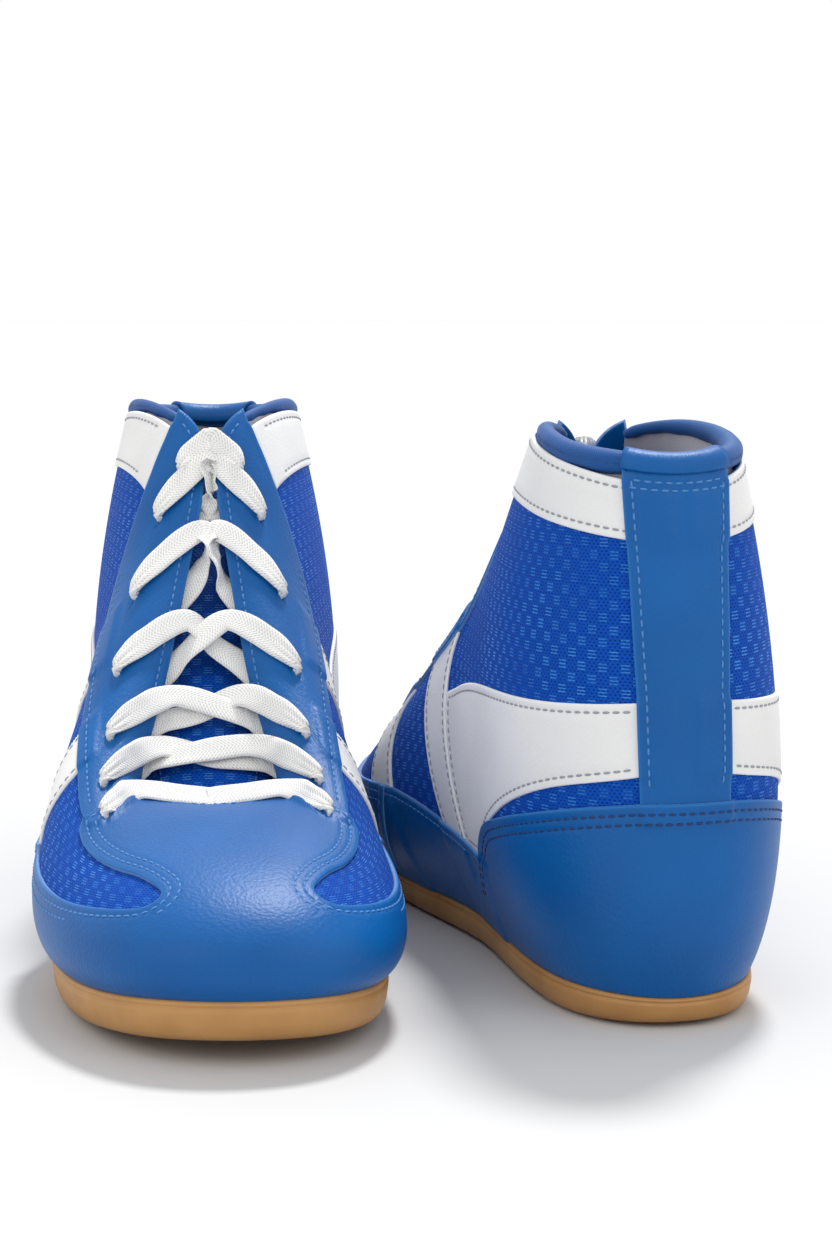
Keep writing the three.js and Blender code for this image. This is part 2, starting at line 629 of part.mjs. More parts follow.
// ---- one boot ----
function bootPieces() {
  const pieces = [];
  const add = (name, made, material) => {
    const geometry = made.isBufferGeometry ? made : geometryOf(largest(made.simplify(SIMPLIFY)));
    pieces.push({ name, geometry, material });
  };
  const pair = (name, half, offsets, material, finish = (made) => made) => {
    add(name + "_lateral", finish(panel(half, offsets), 1), material);
    add(name + "_medial", finish(panel(mirrored(half), offsets), -1), material);
  };
  add("outsole", outsoleSolid(), GUM);
  add("insole_board", plate(BOARD_INSET, GAP / 2, BOARD_THICK), BOARD_TAN);
  add("sock_liner", plate(SOCK_INSET, BOARD_THICK + 1.5 * GAP, SOCK_THICK), LINING_GREY);
  pair("lining", halfLining, LINING, LINING_GREY);
  add("heel_stiffener", panel(acrossHeel(halfStiffener), STIFFENER), BOARD_TAN);
  add("toe_puff", panel(acrossToe(halfPuff), STIFFENER), BOARD_TAN);
  pair("quarter", halfMesh, MESH, BLUE_MESH);
  pair("collar_band", halfCollarBand, TRIM, WHITE_TRIM);
  pair("ankle_band", halfBand, TRIM, WHITE_TRIM);
  const { top, sweep, width } = FRONT_STRAP;
  pair("front_strap", strap(top, sweep, width), TRIM, WHITE_TRIM);
  pair("rear_strap", strap(REAR_STRAP.top, REAR_STRAP.sweep, REAR_STRAP.width), TRIM, WHITE_TRIM);
  add("toe_vamp", laced(panel(acrossToe(halfToe), LEATHER), [1, -1], LEATHER), BLUE_LEATHER);
  pair("rand", halfRand, LEATHER, BLUE_LEATHER);
  pair("facing", halfFacing, LEATHER, BLUE_LEATHER, (made, side) =>
    laced(made, [side], LEATHER),
  );
  add("heel_counter", panel(acrossHeel(smooth(COUNTER_TOP)), LEATHER), BLUE_LEATHER);
  add("backstay", panel(acrossHeel(straight(BACKSTAY)), LEATHER), BLUE_LEATHER);
  add("collar_binding", bindingGeometry(), BINDING_BLUE);
  add("tongue", tongueSolid(), BLUE_MESH);
  add("lace", laceSolid(0), LACE_WHITE);
  add("aglet_lateral", agletGeometry(HALF_ROUTES[0]), LACE_WHITE);
  add("aglet_medial", agletGeometry(HALF_ROUTES[1]), LACE_WHITE);
  return pieces;
}

const PIECES = bootPieces();
function boot(foot) {
  const group = new THREE.Group();
  for (const { name, geometry, material } of PIECES) {
    const mesh = new THREE.Mesh(geometry, material);
    mesh.name = foot + "_" + name;
    group.add(mesh);
  }
  return group;
}

const turn = THREE.MathUtils.degToRad;
const right = new THREE.Group();
const rightBoot = boot("right");
rightBoot.position.set(0, -LENGTH, 0);
right.add(rightBoot);
right.rotation.z = turn(RIGHT_YAW);
right.position.set(RIGHT_TOE[0], RIGHT_TOE[1], 0);

const left = boot("left");
left.scale.x = -1;
left.rotation.z = turn(LEFT_YAW);
left.position.set(LEFT_HEEL[0], LEFT_HEEL[1], 0);

// The pair stands with the middle of its box on the origin.
const pair = new THREE.Group();
pair.add(right, left);
const centre = new THREE.Box3().setFromObject(pair, true).getCenter(new THREE.Vector3());
pair.position.set(-centre.x, -centre.y, 0);

const boots = new THREE.Group();
boots.add(pair);
export default boots;
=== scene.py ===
"""A pair of mid-height boxing boots: blue leather and knitted mesh, white straps and laces, gum soles.

The surface of the upper is one formula, the last, in millimetres in the right boot's own frame: x outwards,
y from heel to toe, z up. Each piece is an outline on the last. Pieces are built once, as a right boot, and
placed twice, the left boot mirrored. Places in the shared frame come from the tongue hinges.
"""
import json
import math

import bpy
import numpy as np
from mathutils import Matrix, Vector, geometry, kdtree


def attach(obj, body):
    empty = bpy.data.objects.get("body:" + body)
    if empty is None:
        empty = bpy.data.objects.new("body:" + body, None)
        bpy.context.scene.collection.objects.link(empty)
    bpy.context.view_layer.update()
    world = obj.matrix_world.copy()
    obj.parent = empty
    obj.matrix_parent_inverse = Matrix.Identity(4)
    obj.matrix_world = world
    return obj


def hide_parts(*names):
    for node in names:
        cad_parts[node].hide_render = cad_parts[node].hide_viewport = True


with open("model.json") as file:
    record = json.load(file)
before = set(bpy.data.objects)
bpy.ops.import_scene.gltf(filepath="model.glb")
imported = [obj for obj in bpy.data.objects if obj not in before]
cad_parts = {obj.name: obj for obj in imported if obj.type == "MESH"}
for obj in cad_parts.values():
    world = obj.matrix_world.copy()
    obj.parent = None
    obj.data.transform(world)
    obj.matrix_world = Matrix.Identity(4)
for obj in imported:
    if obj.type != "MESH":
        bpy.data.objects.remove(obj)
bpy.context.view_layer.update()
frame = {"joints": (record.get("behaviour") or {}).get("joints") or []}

MM = 0.001

# ---- where each boot stands, from the hinge of its tongue ----
HINGE_ON_LAST = np.array([0.0, 198.0, 40.0])  # the tongue's hinge in the boot's own frame, mm


def place_of(foot):
    """The turn and the shift, in metres, that take a boot's own frame to the shared one."""
    joint = next(j for j in frame["joints"] if j["name"] == foot + "_tongue_hinge")
    cos, sin = joint["axis"][0], joint["axis"][1]
    turn = np.array([[cos, -sin, 0], [sin, cos, 0], [0, 0, 1]])
    mirror = np.array([-1.0 if foot == "left" else 1.0, 1, 1])
    shift = np.array(joint["pos_m"]) - turn @ (HINGE_ON_LAST * mirror * MM)
    return turn * mirror, shift


PLACES = {foot: place_of(foot) for foot in ("right", "left")}

# ---- camera: low in front of the pair, looking a little down ----
CAMERA_PLACE = (0.0032, -0.8998, 0.224)
CAMERA_TILT = math.radians(82.1)
CAMERA_LENS = 82.2


def make_camera():
    data = bpy.data.cameras.new("camera")
    data.lens = CAMERA_LENS
    camera = bpy.data.objects.new("camera", data)
    camera.location = CAMERA_PLACE
    camera.rotation_euler = (CAMERA_TILT, 0, 0)
    bpy.context.scene.collection.objects.link(camera)
    bpy.context.scene.camera = camera


make_camera()

# ---- sizes, in millimetres ----
LENGTH = 284
TOE_SWING = 9
BALL_SWING = 4
EDGE_ROUND = 0.5
MESH_FACE = 0.0  # outer faces of the layers, as offsets from the last
TRIM_FACE = 0.85
LEATHER_FACE = 1.3
OVER_BACK = -0.2  # inner faces
VAMP_BACK = -0.3
FACING_BACK = -0.8
MESH_BACK = -0.9
STIFF_FACE, STIFF_BACK = -1.25, -2.1
LINING_FACE, LINING_BACK = -2.4, -3.5
TRIM_RELIEF = 0.75  # how far a leather piece rises over a trim below it
LEATHER_RELIEF = 1.0
RAND_RELIEF = 0.8
SOLE_RIM = 2.2
SOLE_BEVEL = 5
HEEL_SPRING = 1.5
TOE_SPRING = 8
TREAD_HEEL = 34
TREAD_BALL = 190
COLLAR_EDGE = 0.968
COLLAR_FRONT = 0.61
BINDING_RADIUS = 3.2
LACE_WIDTH = 8
LACE_THICK = 1.0
BUNCHED_WIDTH = 4.4
BUNCHED_THICK = 2.1

# ---- the last ----
LOOPS = np.array([
    # feather line, where the upper meets the sole
    [[0, 282, 19], [23, 274, 18], [40, 248, 15], [46, 207, 12], [42, 170, 10], [35, 134, 10],
     [31, 104, 10], [31, 70, 10], [28, 30, 10], [15, 8, 9.5], [0, 3, 9]],
    # pulls the sides out above the sole
    [[0, 293, 35], [34, 285, 32], [57, 252, 28], [63, 210, 28], [59, 170, 34], [51, 134, 38],
     [47, 104, 40], [47, 68, 41], [44, 26, 41], [23, -3, 42], [0, -8, 43]],
    # pulls the sides in under the top line
    [[0, 272, 55], [20, 262, 55], [37, 230, 55], [45, 197, 64], [46, 166, 80], [45, 138, 97],
     [43, 114, 110], [44, 74, 115], [38, 32, 114], [20, 11, 113], [0, 5, 112]],
    # top line: round the throat, up its edge and back round the collar
    [[0, 190, 54], [17, 187, 55], [21, 176, 61], [14, 155, 83], [7, 132, 114], [1.5, 107, 149],
     [9, 96, 165], [22, 74, 169], [27, 44, 165], [17, 18, 160], [0, 11, 158]],
], float)
STATIONS = LOOPS.shape[1] - 1


def closed_spline(half):
    """A loop with its mirror image: the points and the tangents of a smooth closed spline."""
    points = np.vstack([half, half[-2:0:-1] * [-1, 1, 1]])
    n = len(points)
    pull = 3 * (np.roll(points, -1, 0) - np.roll(points, 1, 0))
    ring = np.eye(n)
    tangents = np.linalg.solve(4 * ring + np.roll(ring, 1, 0) + np.roll(ring, -1, 0), pull)
    return points, tangents


SPLINES = [closed_spline(half) for half in LOOPS]


def on_spline(spline, around):
    points, tangents = spline
    n = len(points)
    s = around * STATIONS
    i = np.floor(s).astype(int)
    f = (s - i)[:, None]
    a, b = i % n, (i + 1) % n
    return (
        points[a] * (2 * f**3 - 3 * f**2 + 1) + tangents[a] * (f**3 - 2 * f**2 + f)
        + points[b] * (-2 * f**3 + 3 * f**2) + tangents[b] * (f**3 - f**2)
    )


def last(around, up):
    """Points of the last. around is 0 at the toe and 1 at the heel, positive on the outer side."""
    around, up = np.atleast_1d(around).astype(float), np.atleast_1d(up).astype(float)
    around, up = np.broadcast_arrays(around, up)
    down = 1 - up
    shares = (down**3, 3 * down**2 * up, 3 * down * up**2, up**3)
    p = sum(on_spline(s, around) * w[:, None] for s, w in zip(SPLINES, shares))
    forward = np.maximum(p[:, 1] / LENGTH - 0.21, 0) / 0.79
    p[:, 0] += BALL_SWING * np.exp(-(((p[:, 1] / LENGTH - 0.616) / 0.211) ** 2))
    p[:, 0] -= TOE_SWING * forward**2
    return p


STEP = 1e-3


def slopes(around, up):
    along = (last(around + STEP, up) - last(around - STEP, up)) / (2 * STEP)
    rise = (last(around, up + STEP) - last(around, up - STEP)) / (2 * STEP)
    return along, rise


def unit(v):
    return v / np.maximum(np.linalg.norm(v, axis=-1, keepdims=True), 1e-12)


def travelled(points):
    """The way along a line of points, from 0 at its start."""
    return np.concatenate([[0], np.cumsum(np.linalg.norm(np.diff(points, axis=0), axis=1))])


def smoothstep(x, low, high):
    t = np.clip((x - low) / (high - low), 0, 1)
    return t * t * (3 - 2 * t)


def outward(around, up):
    """The direction in which layers stack: the normal, turned level at the feather line."""
    along, rise = slopes(around, up)
    normal = unit(np.cross(rise, along))
    normal[:, 2] *= smoothstep(np.asarray(up, float), -0.03, 0.2)
    return unit(normal)


def off(around, up, offset):
    around, up = np.broadcast_arrays(np.atleast_1d(around).astype(float), np.atleast_1d(up).astype(float))
    return last(around, up) + outward(around, up) * np.reshape(offset, (-1, 1))


# Cloth coordinates in mm: along the side at half height, and up from the feather line.
CLOTH_AROUND = np.linspace(-1.1, 1.1, 441)
CLOTH_UP = np.linspace(-0.02, 1.02, 53)


def cloth_tables():
    middle = last(CLOTH_AROUND, np.full(len(CLOTH_AROUND), 0.5))
    along = travelled(middle)
    grid = np.stack([last(CLOTH_AROUND, np.full(len(CLOTH_AROUND), v)) for v in CLOTH_UP])
    up = np.linalg.norm(np.diff(grid, axis=0), axis=2).cumsum(0)
    return along - along[len(along) // 2], np.vstack([np.zeros((1, up.shape[1])), up])


CLOTH_ALONG, CLOTH_RISE = cloth_tables()


def cloth(around, up):
    wrapped = (around + 1.1) % 2 - 1.1
    column = np.interp(wrapped, CLOTH_AROUND, np.arange(len(CLOTH_AROUND)))
    row = np.interp(up, CLOTH_UP, np.arange(len(CLOTH_UP)))
    i, j = np.floor(row).astype(int).clip(0, len(CLOTH_UP) - 2), np.rint(column).astype(int)
    rise = CLOTH_RISE[i, j] + (CLOTH_RISE[i + 1, j] - CLOTH_RISE[i, j]) * (row - i)
    return np.stack([np.interp(around, CLOTH_AROUND, CLOTH_ALONG), rise], 1)


# ---- outlines ----
def spline(points, steps=12):
    """A smooth line through the points."""
    p = np.array(points, float)
    p = np.vstack([p[0], p, p[-1]])
    out = []
    for i in range(1, len(p) - 2):
        t = np.arange(steps)[:, None] / steps
        a, b, c, d = p[i - 1], p[i], p[i + 1], p[i + 2]
        out.append(0.5 * (2 * b + (c - a) * t + (2 * a - 5 * b + 4 * c - d) * t**2
                          + (3 * b - a - 3 * c + d) * t**3))
    return np.vstack(out + [p[-2:-1]])


def line(points, steps=40):
    p = np.array(points, float)
    t = np.linspace(0, 1, steps, endpoint=False)[:, None]
    return np.vstack([a + (b - a) * t for a, b in zip(p[:-1], p[1:])] + [p[-1:]])


def resample(points, gap, closed=False):
    """The same line, with its points the same number of millimetres apart on the last."""
    p = np.array(points, float)
    if closed:
        p = np.vstack([p, p[:1]])
    steps = np.linalg.norm(np.diff(last(*p.T), axis=0), axis=1)
    keep = np.concatenate([[True], steps > 1e-6])
    p = p[keep]
    steps = steps[steps > 1e-6]
    way = np.concatenate([[0], np.cumsum(steps)])
    count = max(int(round(way[-1] / gap)), 3)
    at = np.linspace(0, way[-1], count + 1)[: count if closed else count + 1]
    return np.stack([np.interp(at, way, p[:, 0]), np.interp(at, way, p[:, 1])], 1)


def across_heel(half):
    h = np.array(half, float)
    return np.vstack([h, h[::-1] * [-1, 1] + [2, 0]])


def across_toe(half):
    h = np.array(half, float)
    return np.vstack([h, h[::-1] * [-1, 1]])


def shut(outline, steps=40):
    """The outline with a row of points along its open side."""
    return np.vstack([outline, line([outline[-1], outline[0]], steps)[1:-1]])


FACING_EDGE = [[0.604, 0.985], [0.592, 0.9], [0.572, 0.79], [0.535, 0.7], [0.46, 0.665],
               [0.34, 0.68], [0.25, 0.68]]
FACING_UNDER_VAMP = [[0.215, 0.69], [0.185, 0.8], [0.16, 0.9], [0.145, 1]]
MESH_EDGE = [[0.598, COLLAR_EDGE], [0.583, 0.9], [0.558, 0.81], [0.52, 0.74], [0.45, 0.71],
             [0.34, 0.73], [0.25, 0.73], [0.15, 0.69], [0.06, 0.66]]
TOE_OUTLINE = [[0.166, 1.0], [0.19, 0.86], [0.226, 0.72], [0.236, 0.665], [0.218, 0.635],
               [0.15, 0.615], [0.11, 0.6], [0.083, 0.545], [0.095, 0.48], [0.13, 0.452],
               [0.24, 0.41], [0.34, 0.37], [0.42, 0.335]]
RAND_TOP = [[0.41, 0.34], [0.427, 0.33], [0.53, 0.262], [0.6, 0.235], [0.66, 0.222], [0.7, 0.215]]
COUNTER_TOP = [[0.668, 0], [0.672, 0.156], [0.7, 0.281], [0.753, 0.338], [0.838, 0.39],
               [0.92, 0.413], [1, 0.416]]
BAND_TOP = [[0.58, 0.527], [0.7, 0.545], [0.812, 0.566], [0.93, 0.585], [0.985, 0.588]]
BAND_BOTTOM = [[0.985, 0.466], [0.93, 0.46], [0.838, 0.43], [0.77, 0.375], [0.715, 0.3],
               [0.68, 0.215]]
BACKSTAY = [[0.935, 0.38], [0.933, 0.6], [0.925, 0.8], [0.915, 0.99]]
COLLAR_BAND_LOW = 0.858
STRAP_HIGH = 0.76
FRONT_STRAP = (0.327, 0.17, 0.055)
REAR_STRAP = (0.44, 0.285, 0.066)
SEAM = 0.002


def strap(top, sweep, width):
    def edge(shift):
        return line([(top + sweep * (STRAP_HIGH - up) + shift, up) for up in (STRAP_HIGH, 0)])

    return np.vstack([edge(-width / 2), edge(width / 2)[::-1]])


def behind_strap(up):
    top, sweep, width = REAR_STRAP
    return (top + sweep * (STRAP_HIGH - up) + width / 2 + 0.004, up)


FACING = np.vstack([
    spline(FACING_EDGE), spline(FACING_UNDER_VAMP), line([[0.145, 1], [COLLAR_FRONT - SEAM, 1]]),
])
QUARTER = np.vstack([
    line([[0.06, 0], [1 - SEAM, 0], [1 - SEAM, COLLAR_EDGE], [0.598, COLLAR_EDGE]]), spline(MESH_EDGE),
    line([[0.06, 0.66], [0.06, 0]]),
])
LINING = np.vstack([
    line([[SEAM, 0], [1 - SEAM, 0], [1 - SEAM, 0.985], [0.61, 0.985]]), spline(MESH_EDGE)[:-1],
    line([[0.06, 0.66], [SEAM, 0.66], [SEAM, 0]]),
])
TOE_HALF = np.vstack([line([[0.42, 0], [0.42, 0.335]]), spline(TOE_OUTLINE[::-1])])
RAND = np.vstack([line([[0.7, 0], [0.41, 0]]), spline(RAND_TOP), line([[0.7, 0.215], [0.7, 0]])])
BAND = np.vstack([
    spline(BAND_TOP), spline(BAND_BOTTOM), line([behind_strap(up) for up in (0.215, 0.527)]),
])
COLLAR_BAND = line([
    [COLLAR_FRONT - 0.02, COLLAR_BAND_LOW], [0.985, COLLAR_BAND_LOW], [0.985, COLLAR_EDGE],
    [COLLAR_FRONT - 0.008, COLLAR_EDGE], [COLLAR_FRONT - 0.02, COLLAR_BAND_LOW],
])
PUFF = line([[0.2, 0.03], [0.2, 0.35], [0.13, 0.5], [0.02, 0.55]])
STIFFENER = line([[0.74, 0.03], [0.75, 0.28], [0.84, 0.36], [0.98, 0.385]])


def side_of(outline, side):
    return np.array(outline) * [side, 1]


def round_heel(outline, side):
    """One side's outline, with both sides counted the same way round the heel."""
    return side_of(outline, side) + [0 if side > 0 else 2, 0]


# ---- meshes ----
class Skin:
    """Vertices in millimetres, faces, cloth coordinates, distance from the rim and material numbers."""

    def __init__(self):
        self.verts, self.faces, self.uv, self.rim, self.kinds = [], [], [], [], []
        self.count = 0

    def add(self, verts, faces, uv=None, rim=None, kind=0):
        verts = np.asarray(verts, float)
        n = len(verts)
        self.verts.append(verts)
        self.uv.append(np.asarray(uv, float) if uv is not None else verts[:, :2])
        self.rim.append(np.asarray(rim, float) if rim is not None else np.full(n, 9.0))
        self.faces += [tuple(int(i) + self.count for i in f) for f in faces]
        self.kinds += [kind] * len(faces) if np.isscalar(kind) else list(kind)
        self.count += n
        return self


def tube_faces(rows, wide, closed_rows=False, caps=True):
    """Faces of a skin of rings, each ring closed."""
    faces = []
    for i in range(rows if closed_rows else rows - 1):
        for j in range(wide):
            a, b = i * wide + j, i * wide + (j + 1) % wide
            k = (i + 1) % rows
            faces.append((a, b, k * wide + (j + 1) % wide, k * wide + j))
    if caps and not closed_rows:
        faces.append(tuple(range(wide))[::-1])
        faces.append(tuple(range((rows - 1) * wide, rows * wide)))
    return faces


def grid_faces(rows, wide):
    return [
        (i * wide + j, i * wide + j + 1, (i + 1) * wide + j + 1, (i + 1) * wide + j)
        for i in range(rows - 1) for j in range(wide - 1)
    ]


def slab_faces(rows, wide):
    """Faces of a slab: a grid of outer points, the same grid of inner points, and walls round the border."""
    faces = grid_faces(rows, wide)
    n = rows * wide
    border = ([(i, i + 1) for i in range(wide - 1)]
              + [(n - wide + i + 1, n - wide + i) for i in range(wide - 1)]
              + [((i + 1) * wide, i * wide) for i in range(rows - 1)]
              + [(i * wide + wide - 1, (i + 1) * wide + wide - 1) for i in range(rows - 1)])
    return (faces + [tuple(i + n for i in f[::-1]) for f in faces]
            + [(j, i, i + n, j + n) for i, j in border])


def tree_of(points):
    tree = kdtree.KDTree(len(points))
    for i, p in enumerate(points):
        tree.insert(p, i)
    tree.balance()
    return tree


def distances(tree, points):
    return np.array([tree.find(p)[2] for p in points])


def inside(ring, points):
    """Which points lie inside the ring, both on the flat (around, up) sheet."""
    x, y = points[:, 0][:, None], points[:, 1][:, None]
    a, b = ring, np.roll(ring, -1, 0)
    crosses = (a[:, 1] > y) != (b[:, 1] > y)
    slope = (b[:, 0] - a[:, 0]) / np.where(b[:, 1] == a[:, 1], 1e-12, b[:, 1] - a[:, 1])
    return (crosses & (x < a[:, 0] + slope * (y - a[:, 1]))).sum(1) % 2 == 1


def inset(ring, depth):
    """The ring moved inwards by a depth in millimetres. The ring runs anticlockwise."""
    p = last(*ring.T)
    travel = unit(np.roll(p, -1, 0) - np.roll(p, 1, 0))
    along, rise = slopes(*ring.T)
    inwards = np.cross(travel, unit(np.cross(rise, along))) * depth
    return ring + on_sheet(along, rise, inwards)


def on_sheet(along, rise, move):
    """A move in space as a move on the (around, up) sheet."""
    aa, av, vv = (along * along).sum(1), (along * rise).sum(1), (rise * rise).sum(1)
    ma, mv = (along * move).sum(1), (rise * move).sum(1)
    det = np.maximum(aa * vv - av * av, 1e-9)
    return np.stack([(vv * ma - av * mv) / det, (aa * mv - av * ma) / det], 1)


def anticlockwise(ring):
    x, y = ring[:, 0], ring[:, 1]
    area = (x * np.roll(y, -1) - np.roll(x, -1) * y).sum()
    return ring if area > 0 else ring[::-1]


SHEET_SCALE = np.array([300.0, 110.0])  # makes the sheet's units about a millimetre, for triangulating
RING_GAP = 1.1


def sheet_grid(ring, gap):
    """Points on the sheet under a ring, set like bricks and about the gap apart, in millimetres."""
    low, high = ring.min(0), ring.max(0)
    around = np.linspace(low[0], high[0], 24)
    up = np.linspace(low[1], high[1], 12)
    a, v = (m.ravel() for m in np.meshgrid(around, up))
    along, rise = slopes(a, v)
    step_a = gap / np.percentile(np.linalg.norm(along, axis=1), 60)
    step_v = gap * 0.87 / np.percentile(np.linalg.norm(rise, axis=1), 60)
    rows = []
    for i, row_up in enumerate(np.arange(low[1], high[1], step_v)):
        row = np.arange(low[0] + (i % 2) * step_a / 2, high[0], step_a)
        rows.append(np.stack([row, np.full_like(row, row_up)], 1))
    return np.vstack(rows)


def relief(points, spots, below):
    """How far a piece rises where it lies over others: a list of (outline, height)."""
    rise = np.zeros(len(points))
    for outline, height in below:
        ring = resample(outline, 1.2, True)
        edge = tree_of(last(*ring.T))
        far = distances(edge, spots)
        signed = np.where(inside(ring, points), far, -far)
        rise += height * smoothstep(signed, -1.6, 0.6)
    return rise


def seams(ring, rows, where):
    """Stitch rows inside a ring: for each depth, the runs of points where the rule holds."""
    spots = last(*ring.T)
    edge = tree_of(spots)
    runs = []
    for depth in rows:
        row = inset(ring, depth)
        at = last(*row.T)
        good = (distances(edge, at) > depth * 0.95) & where(np.abs((row[:, 0] + 1) % 2 - 1), row[:, 1])
        good &= inside(ring, row)
        if good.all():
            runs.append(row)
            continue
        start = int(np.argmin(good))
        row, good = np.roll(row, -start, 0), np.roll(good, -start)
        run = []
        for point, fine in zip(row, good):
            if fine:
                run.append(point)
            elif run:
                if len(run) > 6:
                    runs.append(np.array(run))
                run = []
        if len(run) > 6:
            runs.append(np.array(run))
    return runs


STITCH_PITCH = 2.9
STITCH_LONG = 2.1
STITCH_RADIUS = 0.3
STITCH_SIDES = 6
STITCH_RINGS = np.array([-1, -0.8, -0.3, 0.3, 0.8, 1])


def stitches(points, normals):
    """One short thread bead after another along a line of points."""
    way = travelled(points)
    count = int(way[-1] / STITCH_PITCH)
    if count < 1:
        return np.zeros((0, 3)), []
    at = (np.arange(count) + 0.5) * way[-1] / count

    def on(values, s):
        return np.stack([np.interp(s, way, values[:, k]) for k in range(3)], 1)

    middle, normal = on(points, at), unit(on(normals, at))
    travel = unit(on(points, at + 0.4) - on(points, at - 0.4))
    side = unit(np.cross(travel, normal))
    angle = np.linspace(0, 2 * np.pi, STITCH_SIDES, endpoint=False)
    verts = []
    for t in STITCH_RINGS:
        size = STITCH_RADIUS * math.sqrt(max(1 - t**4, 0.09))
        height = 0.55 * STITCH_RADIUS * (1 - 1.5 * t**4)
        centre = middle + travel * (t * STITCH_LONG / 2) + normal * height
        for q in angle:
            verts.append(centre + side * (1.15 * size * math.cos(q)) + normal * (0.8 * size * math.sin(q)))
    verts = np.stack(verts, 1)
    one = tube_faces(len(STITCH_RINGS), STITCH_SIDES)
    per = verts.shape[1]
    faces = [tuple(i + k * per for i in f[::-1]) for k in range(count) for f in one]
    return verts.reshape(-1, 3), faces


def true_normal(around, up):
    along, rise = slopes(around, up)
    return unit(np.cross(rise, along))


RIM_ROWS = (0.18, EDGE_ROUND, 1.3)  # depths of the rows of points inside a cut edge
TRACK_HALF = 0.75  # half the width of the strip of points along a stitch row
CLEAR = 0.7  # no other points lie nearer than this to that strip, nor that strip to an edge
GROOVE_DEEP, GROOVE_HALF = 0.2, 0.5  # the groove that the stitches pull
BANK_HIGH, BANK_OUT, BANK_HALF = 0.06, 1.5, 0.8  # the low bank on each side of it
STITCH_SINK = 0.17


def panel(outline, face, back, gap=2.0, below=(), rows=(), where=None, holes=(), puff=None, extra=()):
    """A piece of the upper: an outline on the last, with thickness, rounded rim, relief, holes and stitches.

    face and back are offsets of its outer and inner faces. below lists what it lies over. rows are the depths
    of its stitch rows inside the rim, kept where the rule "where" holds, and extra holds more stitch lines.
    puff gives further thickness on the inner side.
    """
    ring = anticlockwise(resample(outline, RING_GAP, True))
    hole_rings = [anticlockwise(h) for h in holes]
    rim = np.vstack([ring, *hole_rings])
    edge = tree_of(last(*rim.T))
    runs = seams(ring, rows, where) if rows else []
    runs += [resample(run, RING_GAP) for run in extra]
    near_rim = []
    for depth in RIM_ROWS:
        row = inset(ring, depth)
        near_rim.append(row[distances(edge, last(*row.T)) > 0.8 * depth])
    near_rim += [inset(h, -depth) for h in hole_rings for depth in RIM_ROWS[:2]]
    tracks = [ring[:0]]
    for run in runs:
        along, rise = slopes(*run.T)
        side = np.cross(unit(np.gradient(last(*run.T), axis=0)), unit(np.cross(rise, along)))
        tracks += [run + on_sheet(along, rise, side * d) for d in (-TRACK_HALF, 0, TRACK_HALF)]
    tracks = np.vstack(tracks)
    grid = sheet_grid(ring, gap)
    if len(tracks):
        grid = grid[distances(tree_of(last(*tracks.T)), last(*grid.T)) > CLEAR]
        tracks = tracks[distances(edge, last(*tracks.T)) > CLEAR]
    grid = grid[distances(edge, last(*grid.T)) > RIM_ROWS[-1] + 0.45 * gap]
    points = np.vstack([ring, *hole_rings, grid, *near_rim, tracks])
    edges, start = [], 0
    for loop in [ring, *hole_rings]:
        n = len(loop)
        edges += [(start + i, start + (i + 1) % n) for i in range(n)]
        start += n
    flat = [Vector(p) for p in points * SHEET_SCALE]
    made = geometry.delaunay_2d_cdt(flat, edges, [list(range(len(ring)))], 1, 1e-5)
    points = np.array([tuple(v) for v in made[0]]) / SHEET_SCALE
    tris = np.array(made[2], int)
    for loop in hole_rings:
        tris = tris[~inside(loop, points[tris].mean(1))]
    used, tris = np.unique(tris, return_inverse=True)
    points, tris = points[used], tris.reshape(-1, 3)[:, ::-1]
    a, v = points[:, 0], points[:, 1]
    base, stack = last(a, v), outward(a, v)
    far = distances(edge, base)
    rolled = EDGE_ROUND * (1 - np.sqrt(np.maximum(1 - (1 - np.clip(far / EDGE_ROUND, 0, 1)) ** 2, 0)))
    lift = relief(points, base, below)
    top = face + lift - rolled
    if runs:
        thread = np.vstack(runs)
        close = distances(tree_of(last(*thread.T)), base)
        top -= GROOVE_DEEP * np.exp(-((close / GROOVE_HALF) ** 2))
        top += BANK_HIGH * np.exp(-(((close - BANK_OUT) / BANK_HALF) ** 2))
    inner = np.full(len(points), float(back))
    if puff is not None:
        inner -= puff(a, v)
    n = len(points)
    uv = cloth(a, v)
    sides = dict.fromkeys((t[k], t[(k + 1) % 3]) for t in tris for k in range(3))
    walls = [(j, i, i + n, j + n) for i, j in sides if (j, i) not in sides]
    faces = [tuple(t) for t in tris] + [tuple(t[::-1] + n) for t in tris] + walls
    kinds = [0] * (2 * len(tris)) + [1] * len(walls)
    both = np.vstack([base + stack * top[:, None], base + stack * inner[:, None]])
    skin = Skin().add(both, faces, np.vstack([uv, uv]), np.concatenate([far, far]), kinds)
    for run in runs:
        p = last(*run.T)
        stacked = outward(*run.T)
        height = face + relief(run, p, below) - STITCH_SINK
        verts, beads = stitches(p + stacked * height[:, None], true_normal(*run.T))
        skin.add(verts, beads, kind=2)
    return skin


# ---- the pieces of one boot ----
EYELET_LONG, EYELET_SHORT = 5.6, 3.4


def eyelet(side, spot):
    around, up = side * spot[0], spot[1]
    along, rise = slopes(np.array([around]), np.array([up]))
    angle = np.linspace(0, 2 * np.pi, 20, endpoint=False)
    wide, tall = np.linalg.norm(along), np.linalg.norm(rise)
    return np.stack([around + EYELET_LONG / 2 * np.cos(angle) / wide,
                     up + EYELET_SHORT / 2 * np.sin(angle) / tall], 1)


EYELETS = [[0.53, 0.945], [0.512, 0.88], [0.45, 0.83], [0.378, 0.815], [0.303, 0.82],
           [0.248, 0.8], [0.2, 0.77]]


